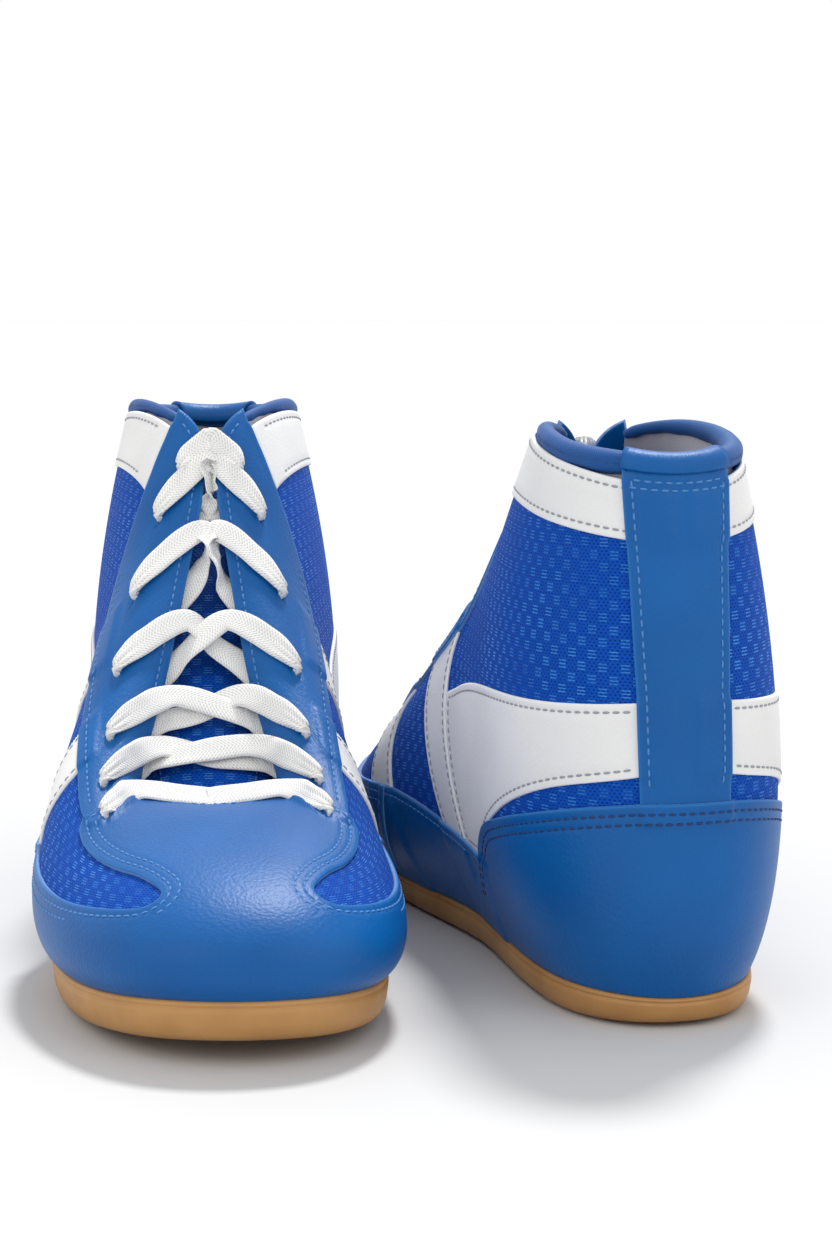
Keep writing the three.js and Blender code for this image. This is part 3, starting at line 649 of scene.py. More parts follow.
def trims(side):
    """What lies on the mesh, under the leather."""
    return [
        (side_of(strap(*FRONT_STRAP), side), TRIM_RELIEF),
        (side_of(strap(*REAR_STRAP), side), TRIM_RELIEF),
        (side_of(BAND, side), TRIM_RELIEF),
        (side_of(COLLAR_BAND, side), TRIM_RELIEF),
    ]


def lining(side):
    def padding(around, up):
        away = np.abs((around + 1) % 2 - 1)
        return (2.6 * smoothstep(up, 0.7, 0.8) * (1 - smoothstep(up, 0.93, 0.985))
                * smoothstep(away, 0.64, 0.74))

    row = line([[0.66, 0.7], [0.97, 0.7]]) * [side, 1]
    return panel(side_of(LINING, side), LINING_FACE, LINING_BACK, gap=2.6, puff=padding, extra=[row])


def stiff(half):
    return panel(shut(half, 30), STIFF_FACE, STIFF_BACK, gap=5)


def quarter(side):
    return panel(side_of(QUARTER, side), MESH_FACE, MESH_BACK, gap=2.4)


def collar_band(side):
    return panel(side_of(COLLAR_BAND, side), TRIM_FACE, OVER_BACK, rows=(2.4,),
                 where=lambda a, v: (a > 0.625) & (a < 0.93))


def ankle_band(side):
    return panel(side_of(BAND, side), TRIM_FACE, OVER_BACK, rows=(2.4,), where=lambda a, v: a < 0.93)


def side_strap(side, sizes):
    return panel(side_of(strap(*sizes), side), TRIM_FACE, OVER_BACK, rows=(2.1,),
                 where=lambda a, v: (v > 0.02) & (v < 0.71))


def toe_vamp(_):
    below = []
    for side in (1, -1):
        below += [(side_of(FACING, side), LEATHER_RELIEF), (side_of(RAND, side), RAND_RELIEF)]
        below += trims(side)[:1]
    holes = [eyelet(side, EYELETS[-1]) for side in (1, -1)]
    outline = shut(across_toe(TOE_HALF))
    return panel(outline, LEATHER_FACE, VAMP_BACK, below=below, rows=(2.7, 5.4), holes=holes, gap=1.9,
                 where=lambda a, v: (v > 0.08) & (a < 0.412))


def rand(side):
    return panel(side_of(RAND, side), LEATHER_FACE, OVER_BACK, below=trims(side), rows=(2.6,),
                 where=lambda a, v: (v > 0.1) & (a > 0.42) & (a < 0.67))


def facing(side):
    holes = [eyelet(side, spot) for spot in EYELETS[:-1]]
    return panel(side_of(FACING, side), LEATHER_FACE, FACING_BACK, below=trims(side), rows=(3.2,),
                 holes=holes, gap=1.9, where=lambda a, v: a > 0.24)


def heel_counter(_):
    below = [(across_heel(BACKSTAY), LEATHER_RELIEF)]
    for side in (1, -1):
        below += [(round_heel(BAND, side), TRIM_RELIEF), (round_heel(RAND, side), RAND_RELIEF + 0.1)]
    outline = shut(across_heel(spline(COUNTER_TOP)))
    return panel(outline, LEATHER_FACE, OVER_BACK, below=below, rows=(2.8, 5.6), gap=2.0,
                 where=lambda a, v: v > 0.12)


BINDING_MIDDLE = -2.3  # offset of the roll's middle line from the last
BINDING_DROP = 2.4  # how far the roll sinks onto the band's edge, away from the backstay
BINDING_OUT = 0.7  # how far it also moves out there
BINDING_THIN = 0.55  # its size at the front, as a share of BINDING_RADIUS
FOLD_FACE, FOLD_BACK = 1.5, 0.2  # faces of the backstay's fold, beyond the roll


def backstay(_):
    outline = shut(across_heel(line(BACKSTAY)))
    below = [(round_heel(trim, side), TRIM_RELIEF) for side in (1, -1) for trim in (BAND, COLLAR_BAND)]
    across = line([[0.925, 0.955], [1.075, 0.955]])
    skin = panel(outline, LEATHER_FACE, OVER_BACK, below=below, rows=(2.8,), gap=2.0, extra=[across],
                 where=lambda a, v: (v > 0.44) & (v < 0.98))
    # the top end, folded over the collar's roll and stitched inside
    turns = np.radians(np.linspace(-14, 196, 26))
    arounds = np.linspace(0.916, 1.084, 21)
    rows_out, rows_in = [], []
    middle = off(arounds, 1.0, BINDING_MIDDLE)
    stack = outward(arounds, np.ones(len(arounds)))
    flat_stack = unit(stack * [1, 1, 0])
    for q in turns:
        for store, radius in ((rows_out, BINDING_RADIUS + FOLD_FACE), (rows_in, BINDING_RADIUS + FOLD_BACK)):
            upwards = np.array([0, 0, 1.0]) * radius * math.sin(q)
            store.append(middle + flat_stack * radius * math.cos(q) + upwards)
    wide, tall = len(arounds), len(turns)
    out, back = np.vstack(rows_out), np.vstack(rows_in)
    along = np.tile((arounds - 1) * 300, tall)
    up = np.repeat(turns * BINDING_RADIUS, wide)
    uv = np.stack([along, up], 1)
    skin.add(np.vstack([out, back]), slab_faces(tall, wide), np.vstack([uv, uv]))
    return skin


def collar_binding(_):
    """A padded roll along the collar, with the small puckers of its jersey cover."""
    arounds = resample(line([[COLLAR_FRONT + 0.004, 1], [2 - COLLAR_FRONT - 0.004, 1]]), 1.1)[:, 0]
    away = smoothstep(np.abs(arounds - 1), 0.07, 0.2)
    middle = off(arounds, 1.0, BINDING_MIDDLE)
    middle += (off(arounds, 1.0, BINDING_MIDDLE + BINDING_OUT) - middle) * away[:, None]
    middle[:, 2] -= BINDING_DROP * away
    travel = unit(np.gradient(middle, axis=0))
    stack = outward(arounds, np.ones(len(arounds)))
    stack = unit(stack - travel * (stack * travel).sum(1)[:, None])
    up = np.cross(travel, stack)
    up *= np.sign(up[:, 2:3])
    way = travelled(middle)
    thin = BINDING_THIN + (1 - BINDING_THIN) * smoothstep(np.minimum(way, way[-1] - way), 5.0, 60.0)
    middle = middle - np.array([0, 0, 1.0]) * (BINDING_RADIUS * (1 - thin) * 0.9)[:, None]
    sides = 28
    angle = np.linspace(0, 2 * np.pi, sides, endpoint=False)
    pucker = (np.sin(way / 1.9 + 1.3 * np.sin(way / 7.3)) * 0.10 + np.sin(way / 5.1) * 0.12)
    rings = []
    for k in range(len(arounds)):
        low = 0.5 - 0.5 * np.sin(angle)  # the seam runs along the underside
        radius = BINDING_RADIUS * thin[k] * (1 + 0.05 * np.cos(2 * angle)) + pucker[k] * low * 1.4
        end = min(way[k], way[-1] - way[k])
        radius = radius * (0.72 + 0.28 * smoothstep(end, 0, 4.0))
        rings.append(middle[k] + stack[k] * (radius * np.cos(angle))[:, None]
                     + up[k] * (1.12 * radius * np.sin(angle))[:, None])
    uv = np.stack([np.repeat(way, sides), np.tile(angle * BINDING_RADIUS, len(arounds))], 1)
    return Skin().add(np.vstack(rings), [f[::-1] for f in tube_faces(len(arounds), sides)], uv)


TONGUE_DEPTH = 9
TONGUE_THICK = 4
TONGUE_WIDTH = 40


def tongue(_):
    """A padded tongue: mesh on foam, flat-lock edges, leaning back into the shaft."""
    knots = []
    for around, sink in ((0.06, 0), (0.2, 0), (0.36, 1.5), (0.48, 4), (0.56, 6)):
        both = off(np.array([around, -around]), 0.99, -TONGUE_DEPTH - sink)
        knots.append(both.mean(0))
    knots[0] = knots[0] + [0, 9, -6]
    knots = np.array(knots)
    ts = np.linspace(0, 1, 70)
    fine = spline(knots, 20)
    fine_way = travelled(fine)
    centre = np.stack([np.interp(ts * fine_way[-1], fine_way, fine[:, k]) for k in range(3)], 1)
    travel = unit(np.gradient(centre, axis=0))
    inward = unit(np.stack([0 * ts, -travel[:, 2], travel[:, 1]], 1))
    inward *= -np.sign(inward[:, 2:3])
    bend = np.interp(ts, [0, 0.4, 0.75, 1], [0.004, 0.012, 0.026, 0.045])
    across = np.linspace(-1, 1, 41)
    rounded = np.sqrt(np.maximum(1 - np.abs(across) ** 5, 0))
    out, back = [], []
    for k, t in enumerate(ts):
        half = TONGUE_WIDTH / 2 * min(1, 0.75 + t) * (1 - 0.14 * smoothstep(t, 0.88, 1))
        x = across * half
        ends = math.sqrt(max(1 - (abs(2 * t - 1)) ** 14, 0.02))
        swell = 0.5 * TONGUE_THICK * rounded * ends
        channel = 0.5 * np.exp(-((np.abs(x) - half + 4.2) / 0.8) ** 2)
        sink = bend[k] * x * x + 0.5 * TONGUE_THICK
        place = centre[k] + np.stack([x, 0 * x, 0 * x], 1)
        out.append(place + inward[k] * (sink - swell * 0.95 + channel * ends)[:, None])
        back.append(place + inward[k] * (sink + swell * 0.9)[:, None])
    wide, tall = len(across), len(ts)
    out, back = np.vstack(out), np.vstack(back)
    uv = np.stack([np.tile(across * TONGUE_WIDTH / 2, tall), np.repeat(ts * fine_way[-1], wide)], 1)
    skin = Skin().add(np.vstack([out, back]), slab_faces(tall, wide), np.vstack([uv, uv]))
    for column in (5, wide - 6):
        track = out.reshape(tall, wide, 3)[4:-3, column]
        normal = -inward[4:-3]
        verts, beads = stitches(track + normal * 0.05, normal)
        skin.add(verts, beads, kind=2)
    return skin


# ---- soles ----
SOLE_POINTS = 240


def feather(out):
    arounds = np.linspace(0, 2, SOLE_POINTS, endpoint=False)
    return off(arounds, 0.0, out), last(arounds, np.zeros(SOLE_POINTS))[:, 2]


def tread_height(y):
    return (TOE_SPRING * (np.maximum(y - TREAD_BALL, 0) / (LENGTH - TREAD_BALL)) ** 2
            + HEEL_SPRING * (np.maximum(TREAD_HEEL - y, 0) / TREAD_HEEL) ** 2)


def cap(ring, height, gap, up):
    """A flat or shaped end for a ring: vertices and triangles, the ring's own points first."""
    flat = ring[:, :2]
    low, high = flat.min(0), flat.max(0)
    xs, ys = np.arange(low[0], high[0], gap), np.arange(low[1], high[1], gap)
    grid = np.stack([m.ravel() for m in np.meshgrid(xs, ys)], 1)
    edge = tree_of([(x, y, 0) for x, y in flat])
    far = distances(edge, [(x, y, 0) for x, y in grid])
    grid = grid[(far > 0.6 * gap)]
    points = np.vstack([flat, grid])
    n = len(flat)
    edges = [(i, (i + 1) % n) for i in range(n)]
    made = geometry.delaunay_2d_cdt([Vector(p) for p in points], edges, [list(range(n))], 1, 1e-5)
    points = np.array([tuple(v) for v in made[0]])
    tris = np.array(made[2], int)
    used, tris = np.unique(tris, return_inverse=True)
    tris = tris.reshape(-1, 3)
    points = points[used]
    order = {int(old): new for new, old in enumerate(used)}
    rim = [order[i] for i in range(n)]
    verts = np.column_stack([points, height(points)])
    return verts, tris if up else tris[:, ::-1], rim


PIVOT = (4, 206)  # middle of the tread's rings, under the ball
PIVOT_OUT = 30
RING_PITCH, WAVE_PITCH = 7, 8
WAVE_HIGH, WAVE_WIDE = 6.6, 6
GROOVE_EDGE = (0.2, 0.6)
TREAD_DEEP = 1.1
SHANK = (84, 144)  # the smooth waist, from and to


def tread_pattern(points):
    """Depth of the tread's grooves: rings round the ball's pivot, and shallow waves elsewhere."""
    x, y = points[:, 0], points[:, 1]
    pivot = np.hypot(x - PIVOT[0], y - PIVOT[1])
    rings = smoothstep(np.cos(pivot * 2 * np.pi / RING_PITCH), *GROOVE_EDGE) * (pivot < PIVOT_OUT - 1)
    bent = y + WAVE_HIGH * np.abs((x / WAVE_WIDE) % 2 - 1)
    wave = smoothstep(np.cos(bent * 2 * np.pi / WAVE_PITCH), *GROOVE_EDGE)
    shank = smoothstep(y, SHANK[0], SHANK[0] + 6) * (1 - smoothstep(y, SHANK[1] - 6, SHANK[1]))
    return TREAD_DEEP * np.where(pivot < PIVOT_OUT, rings, wave * (1 - shank))


def outsole(_):
    levels = [(SOLE_RIM - SOLE_BEVEL, 0.0, 1), (SOLE_RIM - 2.9, 0.06, 0.8), (SOLE_RIM - 1.5, 0.18, 0.5),
              (SOLE_RIM - 0.5, 0.42, 0.2), (SOLE_RIM, 0.72, 0), (SOLE_RIM + 0.05, 0.84, 0),
              (SOLE_RIM - 0.35, 0.87, 0), (SOLE_RIM - 0.35, 0.90, 0), (SOLE_RIM, 0.93, 0),
              (SOLE_RIM - 0.1, 0.99, 0), (SOLE_RIM - 0.5, 1.03, 0), (SOLE_RIM - 1.2, 1.045, 0),
              (SOLE_RIM - 2.4, 1.03, 0)]
    rings = []
    for out, share, _ in levels:
        p, top = feather(out)
        ground = tread_height(p[:, 1])
        p[:, 2] = ground + (top - 0.35 - ground) * share
        rings.append(p)
    wide = SOLE_POINTS
    walls = tube_faces(len(rings), wide, caps=False)
    verts = np.vstack(rings)
    bottom, tris, rim = cap(rings[0], lambda q: tread_height(q[:, 1]), 2.0, False)
    inner = np.ones(len(bottom), bool)
    inner[rim] = False
    edge = tree_of([(x, y, 0) for x, y in rings[0][:, :2]])
    far = distances(edge, [(x, y, 0) for x, y in bottom[:, :2]])
    bottom[:, 2] += tread_pattern(bottom[:, :2]) * smoothstep(far, 3.5, 5.0) * inner
    bed = lambda q: np.interp(q[:, 1], [0, 60, 170, 282], [8, 8, 8.6, 18])
    top_cap, top_tris, top_rim = cap(rings[-1], bed, 8, True)
    top_cap[top_rim, 2] = rings[-1][:, 2]

    def joined(tri_list, rim_list, base, ring_start):
        back = {r: ring_start + i for i, r in enumerate(rim_list)}
        return [tuple(back.get(int(i), int(i) + base) for i in t) for t in tri_list]

    all_verts = np.vstack([verts, bottom, top_cap])
    faces = [f[::-1] for f in walls]
    faces += joined(tris, rim, len(verts), 0)
    faces += joined(top_tris, top_rim, len(verts) + len(bottom), (len(rings) - 1) * wide)
    keep = sorted({i for f in faces for i in f})
    renumber = {old: new for new, old in enumerate(keep)}
    faces = [tuple(renumber[i] for i in f) for f in faces]
    final = all_verts[keep]
    uv = np.stack([final[:, 1], final[:, 0] + final[:, 2] * 2], 1)
    return Skin().add(final, faces, uv)


def plate(inset_by, low, thick):
    """A flat piece on the sole, its edge rounded, inside the feather line by inset_by."""
    _, top = feather(-inset_by)
    rounding = [(0.6, 0), (0, 0.35), (0, thick - 0.35), (0.25, thick - 0.08), (0.8, thick)]
    rings = []
    for move, rise in rounding:
        q, _ = feather(-inset_by - move)
        q[:, 2] = top + low + rise
        rings.append(q)
    n = SOLE_POINTS
    faces = [f[::-1] for f in tube_faces(len(rings), n, caps=False)]
    verts = np.vstack(rings)

    def strips(start, flip):
        made = []
        for i in range(n // 2):
            a, b, c, d = i, i + 1, (n - i) % n, n - i - 1
            for t in ((a, b, d), (a, d, c)):
                if len(set(t)) == 3:
                    t = tuple(start + k for k in t)
                    made.append(t[::-1] if flip else t)
        return made

    faces += strips(0, True) + strips((len(rings) - 1) * n, False)
    uv = verts[:, [1, 0]]
    return Skin().add(verts, faces, uv)


# ---- lace ----
LEATHER_TOP = LEATHER_FACE + LACE_THICK  # offset of the lace lying on the facing
UNDER_EDGE = FACING_BACK - LACE_THICK  # likewise, under the facing
TAIL_UNDER = -5.05  # and of its tucked ends, under the lining
EDGE_ROOM = 2.2  # how far inside the throat it turns round the facing's edge
CROSS_LIFT = 1.5  # how far one strand rises and the other sinks where they cross


def spot(around, up, offset):
    return off(np.array([around]), np.array([up]), offset)[0]


def along_throat(side, around):
    return unit(spot(side * (around + 0.01), 0.99, 0) - spot(side * (around - 0.01), 0.99, 0))


def lace_route(side):
    """Half of the lace: places, directions of its width, and how open it lies, from the lowest bar up."""
    route = []

    def add(place, along, opened):
        route.append((np.array(place, float), np.array(along, float), opened))

    def at(s, around, up, offset, opened):
        add(spot(s * around, up, offset), along_throat(s, around), opened)

    def through(s, eye):
        at(s, eye[0], eye[1], LEATHER_TOP + 0.2, 0)
        at(s, eye[0], eye[1], 0.3, 0)
        at(s, eye[0], eye[1], UNDER_EDGE, 0)

    s = side
    low = EYELETS[-1]
    bar = spot(0, 0.99, LEATHER_TOP + 0.4)
    near = spot(s * 0.15, 0.97, LEATHER_TOP + 0.5)
    for share in (-0.06, 0, 0.5):
        add(bar + (near - bar) * share, unit(np.array([0, -1, 0.6])), 1)
    at(s, 0.172, 0.93, LEATHER_TOP + 0.7, 1)
    at(s, low[0] - 0.008, low[1] + 0.06, LEATHER_TOP + 0.8, 0.7)
    through(s, low)
    for row in range(len(EYELETS) - 1, 0, -1):
        (from_a, from_v), (to_a, to_v) = EYELETS[row], EYELETS[row - 1]
        between = lambda share: from_a + (to_a - from_a) * share
        over = (row % 2 == 0) == (s > 0)
        at(s, between(0.1), (from_v + 1) / 2, UNDER_EDGE - 0.3, 0.6)
        inwards = np.array([-s, 0, 0])
        leave = spot(s * between(0.3), 1, UNDER_EDGE - 0.2) + inwards * EDGE_ROOM
        arrive = spot(-s * between(0.8), 1, LEATHER_TOP + 0.9) - inwards * EDGE_ROOM
        lift = np.array([0, 0.6, 0.8]) * (CROSS_LIFT if over else -CROSS_LIFT)
        add(leave, along_throat(s, between(0.3)), 1)
        add(leave + (arrive - leave) * (0.45 if over else 0.5) + lift, along_throat(s, between(0.6)), 1)
        add(arrive, along_throat(s, between(0.8)), 1)
        at(-s, between(0.93), (to_v + 1) / 2, LEATHER_TOP + 0.7, 1)
        through(-s, EYELETS[row - 1])
        s = -s
    at(s, 0.55, 0.9, TAIL_UNDER - 1.15, 0.3)
    at(s, 0.58, 0.86, TAIL_UNDER - 2.9, 0)
    return route


def fine_route(route, gap=0.8):
    """The route as closely spaced places, with centripetal spacing so that no bend overshoots."""
    p = np.array([r[0] for r in route])
    along = np.array([r[1] for r in route])
    opened = np.array([r[2] for r in route], float)
    p = np.vstack([2 * p[0] - p[1], p, 2 * p[-1] - p[-2]])
    places, widths, opens = [], [], []
    for i in range(1, len(p) - 2):
        four = p[i - 1 : i + 3]
        knots = np.concatenate([[0], np.cumsum(np.linalg.norm(np.diff(four, axis=0), axis=1) ** 0.5)])
        steps = max(int(np.linalg.norm(four[2] - four[1]) / gap), 2)
        t = knots[1] + (knots[2] - knots[1]) * np.arange(steps) / steps
        t = t[:, None]

        def mix(a, b, ta, tb):
            return a * (tb - t) / (tb - ta) + b * (t - ta) / (tb - ta)

        a1 = mix(four[0], four[1], knots[0], knots[1])
        a2 = mix(four[1], four[2], knots[1], knots[2])
        a3 = mix(four[2], four[3], knots[2], knots[3])
        b1, b2 = mix(a1, a2, knots[0], knots[2]), mix(a2, a3, knots[1], knots[3])
        places.append(mix(b1, b2, knots[1], knots[2]))
        share = smoothstep(np.arange(steps) / steps, 0, 1)[:, None]
        widths.append(along[i - 1] * (1 - share) + along[i] * share)
        opens.append(opened[i - 1] * (1 - share[:, 0]) + opened[i] * share[:, 0])
    return (np.vstack(places + [p[-2:-1]]), np.vstack(widths + [along[-1:]]),
            np.concatenate(opens + [opened[-1:]]))


LACE_ACROSS = 13  # points across each face of the lace
AGLET_PROFILE = [  # distances along the aglet and its radii, with two crimped rings
    (0, 0), (0.1, 1.45), (0.5, 1.65), (2.2, 1.65), (2.6, 1.5), (3.0, 1.65), (15.8, 1.62), (16.2, 1.5),
    (16.6, 1.62), (17.6, 1.55), (17.95, 1.2), (18, 0)]


def lace(_):
    skin = Skin()
    x = np.linspace(-1, 1, LACE_ACROSS)
    for side in (1, -1):
        place, along, opened = fine_route(lace_route(side))
        travel = unit(np.gradient(place, axis=0))
        along = unit(along - travel * (along * travel).sum(1)[:, None])
        up = np.cross(travel, along)
        way = travelled(place)
        rings, coords = [], []
        for k in range(len(place)):
            wide = (BUNCHED_WIDTH + (LACE_WIDTH - BUNCHED_WIDTH) * opened[k]) / 2
            thick = (BUNCHED_THICK + (LACE_THICK - BUNCHED_THICK) * opened[k]) / 2
            ripple = 1 + 0.02 * math.sin(way[k] / 2.1) + 0.015 * math.sin(way[k] / 5.7)
            body = thick * (1 - np.abs(x) ** 6 * 0.75) * (1 + 0.16 * x**2 * opened[k])
            fold = (1 - opened[k]) * 0.35 * np.cos(x * 3 * np.pi)
            fold = fold + 0.18 * opened[k] * np.sin(way[k] / 9 + x * 1.5)
            top = np.stack([x * wide * ripple, body + fold], 1)
            low = np.stack([x[::-1] * wide * ripple, -body[::-1] + fold[::-1]], 1)
            flat = np.vstack([top, low])
            rings.append(place[k] + along[k] * flat[:, :1] + up[k] * flat[:, 1:])
            coords.append(np.stack([flat[:, 0], np.full(len(flat), way[k])], 1))
        faces = tube_faces(len(rings), 2 * LACE_ACROSS)
        skin.add(np.vstack(rings), [f[::-1] for f in faces], np.vstack(coords))
    return skin


def aglet(side):
    place, _, _ = fine_route(lace_route(side))
    travel = unit(place[-1] - place[-4])
    side_way = unit(np.cross(travel, [0.3, 0.2, 1]))
    other = np.cross(travel, side_way)
    angle = np.linspace(0, 2 * np.pi, 20, endpoint=False)
    rings = []
    for far, radius in AGLET_PROFILE:
        centre = place[-1] + travel * (0.35 + far)
        rings.append(centre + side_way * (max(radius, 0.02) * np.cos(angle))[:, None]
                     + other * (max(radius, 0.02) * np.sin(angle))[:, None])
    return Skin().add(np.vstack(rings), [f[::-1] for f in tube_faces(len(rings), 20)])


# ---- materials ----
def linear(*colour):
    """The shader's colour for one given in 0 to 255 as the eye sees it."""
    return (*[(c / 255 / 12.92) if c < 11 else ((c / 255 + 0.055) / 1.055) ** 2.4 for c in colour], 1)


class Shader:
    """A small helper round a material's node tree."""

    def __init__(self, name):
        self.made = bpy.data.materials.new(name)
        self.made.use_nodes = True
        self.tree = self.made.node_tree
        self.nodes, self.links = self.tree.nodes, self.tree.links
        self.base = self.nodes["Principled BSDF"]

    def node(self, kind, **settings):
        n = self.nodes.new(kind)
        for key, value in settings.items():
            setattr(n, key, value)
        return n

    def link(self, source, target):
        self.links.new(source, target)

    def math(self, operation, a, b=None, c=None):
        n = self.node("ShaderNodeMath", operation=operation)
        for socket, value in zip(n.inputs, (a, b, c)):
            if value is None:
                continue
            if hasattr(value, "links"):
                self.link(value, socket)
            else:
                socket.default_value = value
        return n.outputs[0]

    def plus(self, a, b):
        return self.math("ADD", a, b)

    def minus(self, a, b):
        return self.math("SUBTRACT", a, b)

    def times(self, a, b):
        return self.math("MULTIPLY", a, b)

    def cloth(self):
        """Cloth coordinates in mm, as two sockets and one vector."""
        uv = self.node("ShaderNodeUVMap", uv_map="cloth")
        split = self.node("ShaderNodeSeparateXYZ")
        self.link(uv.outputs[0], split.inputs[0])
        return split.outputs[0], split.outputs[1], uv.outputs[0]

    def noise(self, vector, scale, detail):
        n = self.node("ShaderNodeTexNoise")
        n.inputs["Scale"].default_value = scale
        n.inputs["Detail"].default_value = detail
        n.inputs["Roughness"].default_value = 0.55
        self.link(vector, n.inputs["Vector"])
        return n.outputs[0]

    def cells(self, vector, scale):
        n = self.node("ShaderNodeTexVoronoi", feature="SMOOTH_F1")
        n.inputs["Scale"].default_value = scale
        self.link(vector, n.inputs["Vector"])
        return n.outputs["Distance"]

    def ramp(self, value, stops):
        n = self.node("ShaderNodeValToRGB")
        self.link(value, n.inputs[0])
        marks = n.color_ramp.elements
        while len(marks) < len(stops):
            marks.new(0.5)
        for mark, (place, colour) in zip(marks, stops):
            mark.position = place
            mark.color = linear(*colour)
        return n.outputs[0]

    def mix(self, factor, a, b):
        n = self.node("ShaderNodeMix", data_type="RGBA")
        self.link(factor, n.inputs[0])
        for socket, value in ((n.inputs[6], a), (n.inputs[7], b)):
            if hasattr(value, "links"):
                self.link(value, socket)
            else:
                socket.default_value = linear(*value)
        return n.outputs[2]

    def bump(self, height, distance):
        n = self.node("ShaderNodeBump")
        n.inputs["Strength"].default_value = 1.0
        n.inputs["Distance"].default_value = distance
        self.link(height, n.inputs["Height"])
        self.link(n.outputs[0], self.base.inputs["Normal"])

    def rim(self):
        """Distance from the piece's cut edge, in mm."""
        return self.node("ShaderNodeAttribute", attribute_name="rim").outputs["Fac"]

    def set(self, **values):
        for key, value in values.items():
            socket = self.base.inputs[key.replace("_", " ")]
            if hasattr(value, "links"):
                self.link(value, socket)
            else:
                socket.default_value = linear(*value) if isinstance(value, tuple) else value


def leather(name, dark, light, rough, grain, rim_colour=None):
    s = Shader(name)
    _, _, uv = s.cloth()
    broad = s.noise(uv, 0.02, 2.0)
    colour = s.ramp(broad, [(0.3, dark), (0.7, light)])
    pore = s.cells(uv, 1.05)
    fine = s.noise(uv, 2.6, 4.0)
    colour = s.mix(s.times(s.minus(0.55, pore), 0.35), colour, light)
    # lighter towards the piece's cut edge, within about 0.9 mm of it
    if rim_colour is not None:
        close = s.minus(1.0, s.times(s.rim(), 1.1))
        close = s.times(s.math("MAXIMUM", close, 0.0), 0.75)
        colour = s.mix(close, colour, rim_colour)
    s.set(Base_Color=colour)
    s.link(s.math("MULTIPLY_ADD", fine, 0.16, rough - 0.08), s.base.inputs["Roughness"])
    s.set(Specular_IOR_Level=0.25)
    s.bump(s.plus(pore, s.times(fine, 0.5)), grain * MM)
    return s.made


# The knit's pattern, in mm: its holes, and the clusters of dashes, glossy and with a painted glint.
HOLE_PITCH = (1.45, 0.95)
HOLE_HALF = (0.46, 0.32)
CLUSTER_PITCH = (6.9, 3.5)
CLUSTER_HALF = 1.35
DASH_PITCH = 0.95
DASH_HALF = 0.2
DASH_CENTRE = 10.5 * DASH_PITCH  # puts the middle dash on the cluster's own middle


def knit(name, hole, yarn, glint):
    """Fine warp-knitted mesh: rows of small holes set like bricks, and clusters of three glossy float
    threads, their colour lightened as a painted glint.
    """
    s = Shader(name)
    u, v, uv = s.cloth()

    def brick(across, up):
        """The place within a brick of a wall, from its middle."""
        row = s.math("FLOORED_MODULO", s.math("FLOOR", s.math("DIVIDE", v, up)), 2.0)
        shifted = s.math("MULTIPLY_ADD", row, 0.5, s.math("DIVIDE", u, across))
        x = s.times(s.minus(s.math("FRACT", shifted), 0.5), across)
        y = s.times(s.minus(s.math("FRACT", s.math("DIVIDE", v, up)), 0.5), up)
        return x, y

    far = s.plus(*[s.math("POWER", s.math("DIVIDE", place, half), 2.0)
                   for place, half in zip(brick(*HOLE_PITCH), HOLE_HALF)])
    solid_here = s.math("SMOOTH_MIN", far, 1.0, 0.4)
    cluster = brick(*CLUSTER_PITCH)
    wave = s.math("PINGPONG", s.plus(cluster[1], DASH_CENTRE), DASH_PITCH / 2)
    dash = s.math("GREATER_THAN", wave, DASH_PITCH / 2 - DASH_HALF)
    for place in cluster:
        dash = s.times(dash, s.math("LESS_THAN", s.math("ABSOLUTE", place), CLUSTER_HALF))
    uneven = s.noise(uv, 0.9, 2.0)  # strength of the painted glint, from dash to dash, and from one part of the boot to the next
    faint = s.noise(uv, 0.035, 1.0)
    strength = s.times(s.times(uneven, 1.6), s.math("MULTIPLY_ADD", faint, 1.6, -0.25))
    float_gloss_and_painted_glint = s.times(dash, s.math("MINIMUM", s.math("MAXIMUM", strength, 0.0), 1.0))
    colour = s.mix(solid_here, hole, yarn)
    broad = s.noise(uv, 0.4, 3.0)
    colour = s.mix(s.times(s.minus(broad, 0.35), 0.5), colour, yarn)
    # painted glint: the float threads lightened towards the glint colour, strongly in some parts of the boot
    # and faintly in others
    colour = s.mix(float_gloss_and_painted_glint, colour, glint)
    strand = s.math("SINE", s.times(s.plus(u, s.times(v, 0.6)), 12.0))
    s.set(Base_Color=colour)
    s.link(s.math("MULTIPLY_ADD", float_gloss_and_painted_glint, -0.35, 0.7), s.base.inputs["Roughness"])
    s.set(Specular_IOR_Level=0.12)
    raised = s.plus(solid_here, s.times(float_gloss_and_painted_glint, 0.9))
    s.bump(s.plus(raised, s.times(strand, 0.15)), 0.22 * MM)
    return s.made


def woven(name, dark, light, pitch, rough, depth, sheen=0.2):
    """Flat woven or ribbed cloth: slanting threads that meet in the middle of the tape."""
    s = Shader(name)
    u, v, uv = s.cloth()
    slant = s.plus(s.math("ABSOLUTE", u), v)
    wave = s.math("SINE", s.times(slant, 2 * math.pi / pitch))
    cross = s.math("SINE", s.times(u, 2 * math.pi / (pitch * 0.8)))
    thread = s.math("MULTIPLY_ADD", wave, 0.25, 0.5)
    thread = s.math("MULTIPLY_ADD", s.times(wave, cross), 0.25, thread)
    fuzz = s.noise(uv, 3.5, 3.0)
    shade = s.math("MULTIPLY_ADD", fuzz, 0.35, s.times(thread, 0.75))
    s.set(Base_Color=s.ramp(shade, [(0.25, dark), (0.7, light)]), Roughness=rough)
    s.set(Sheen_Weight=sheen, Sheen_Roughness=0.5, Specular_IOR_Level=0.3)
    s.bump(s.plus(thread, s.times(fuzz, 0.5)), depth * MM)
    return s.made


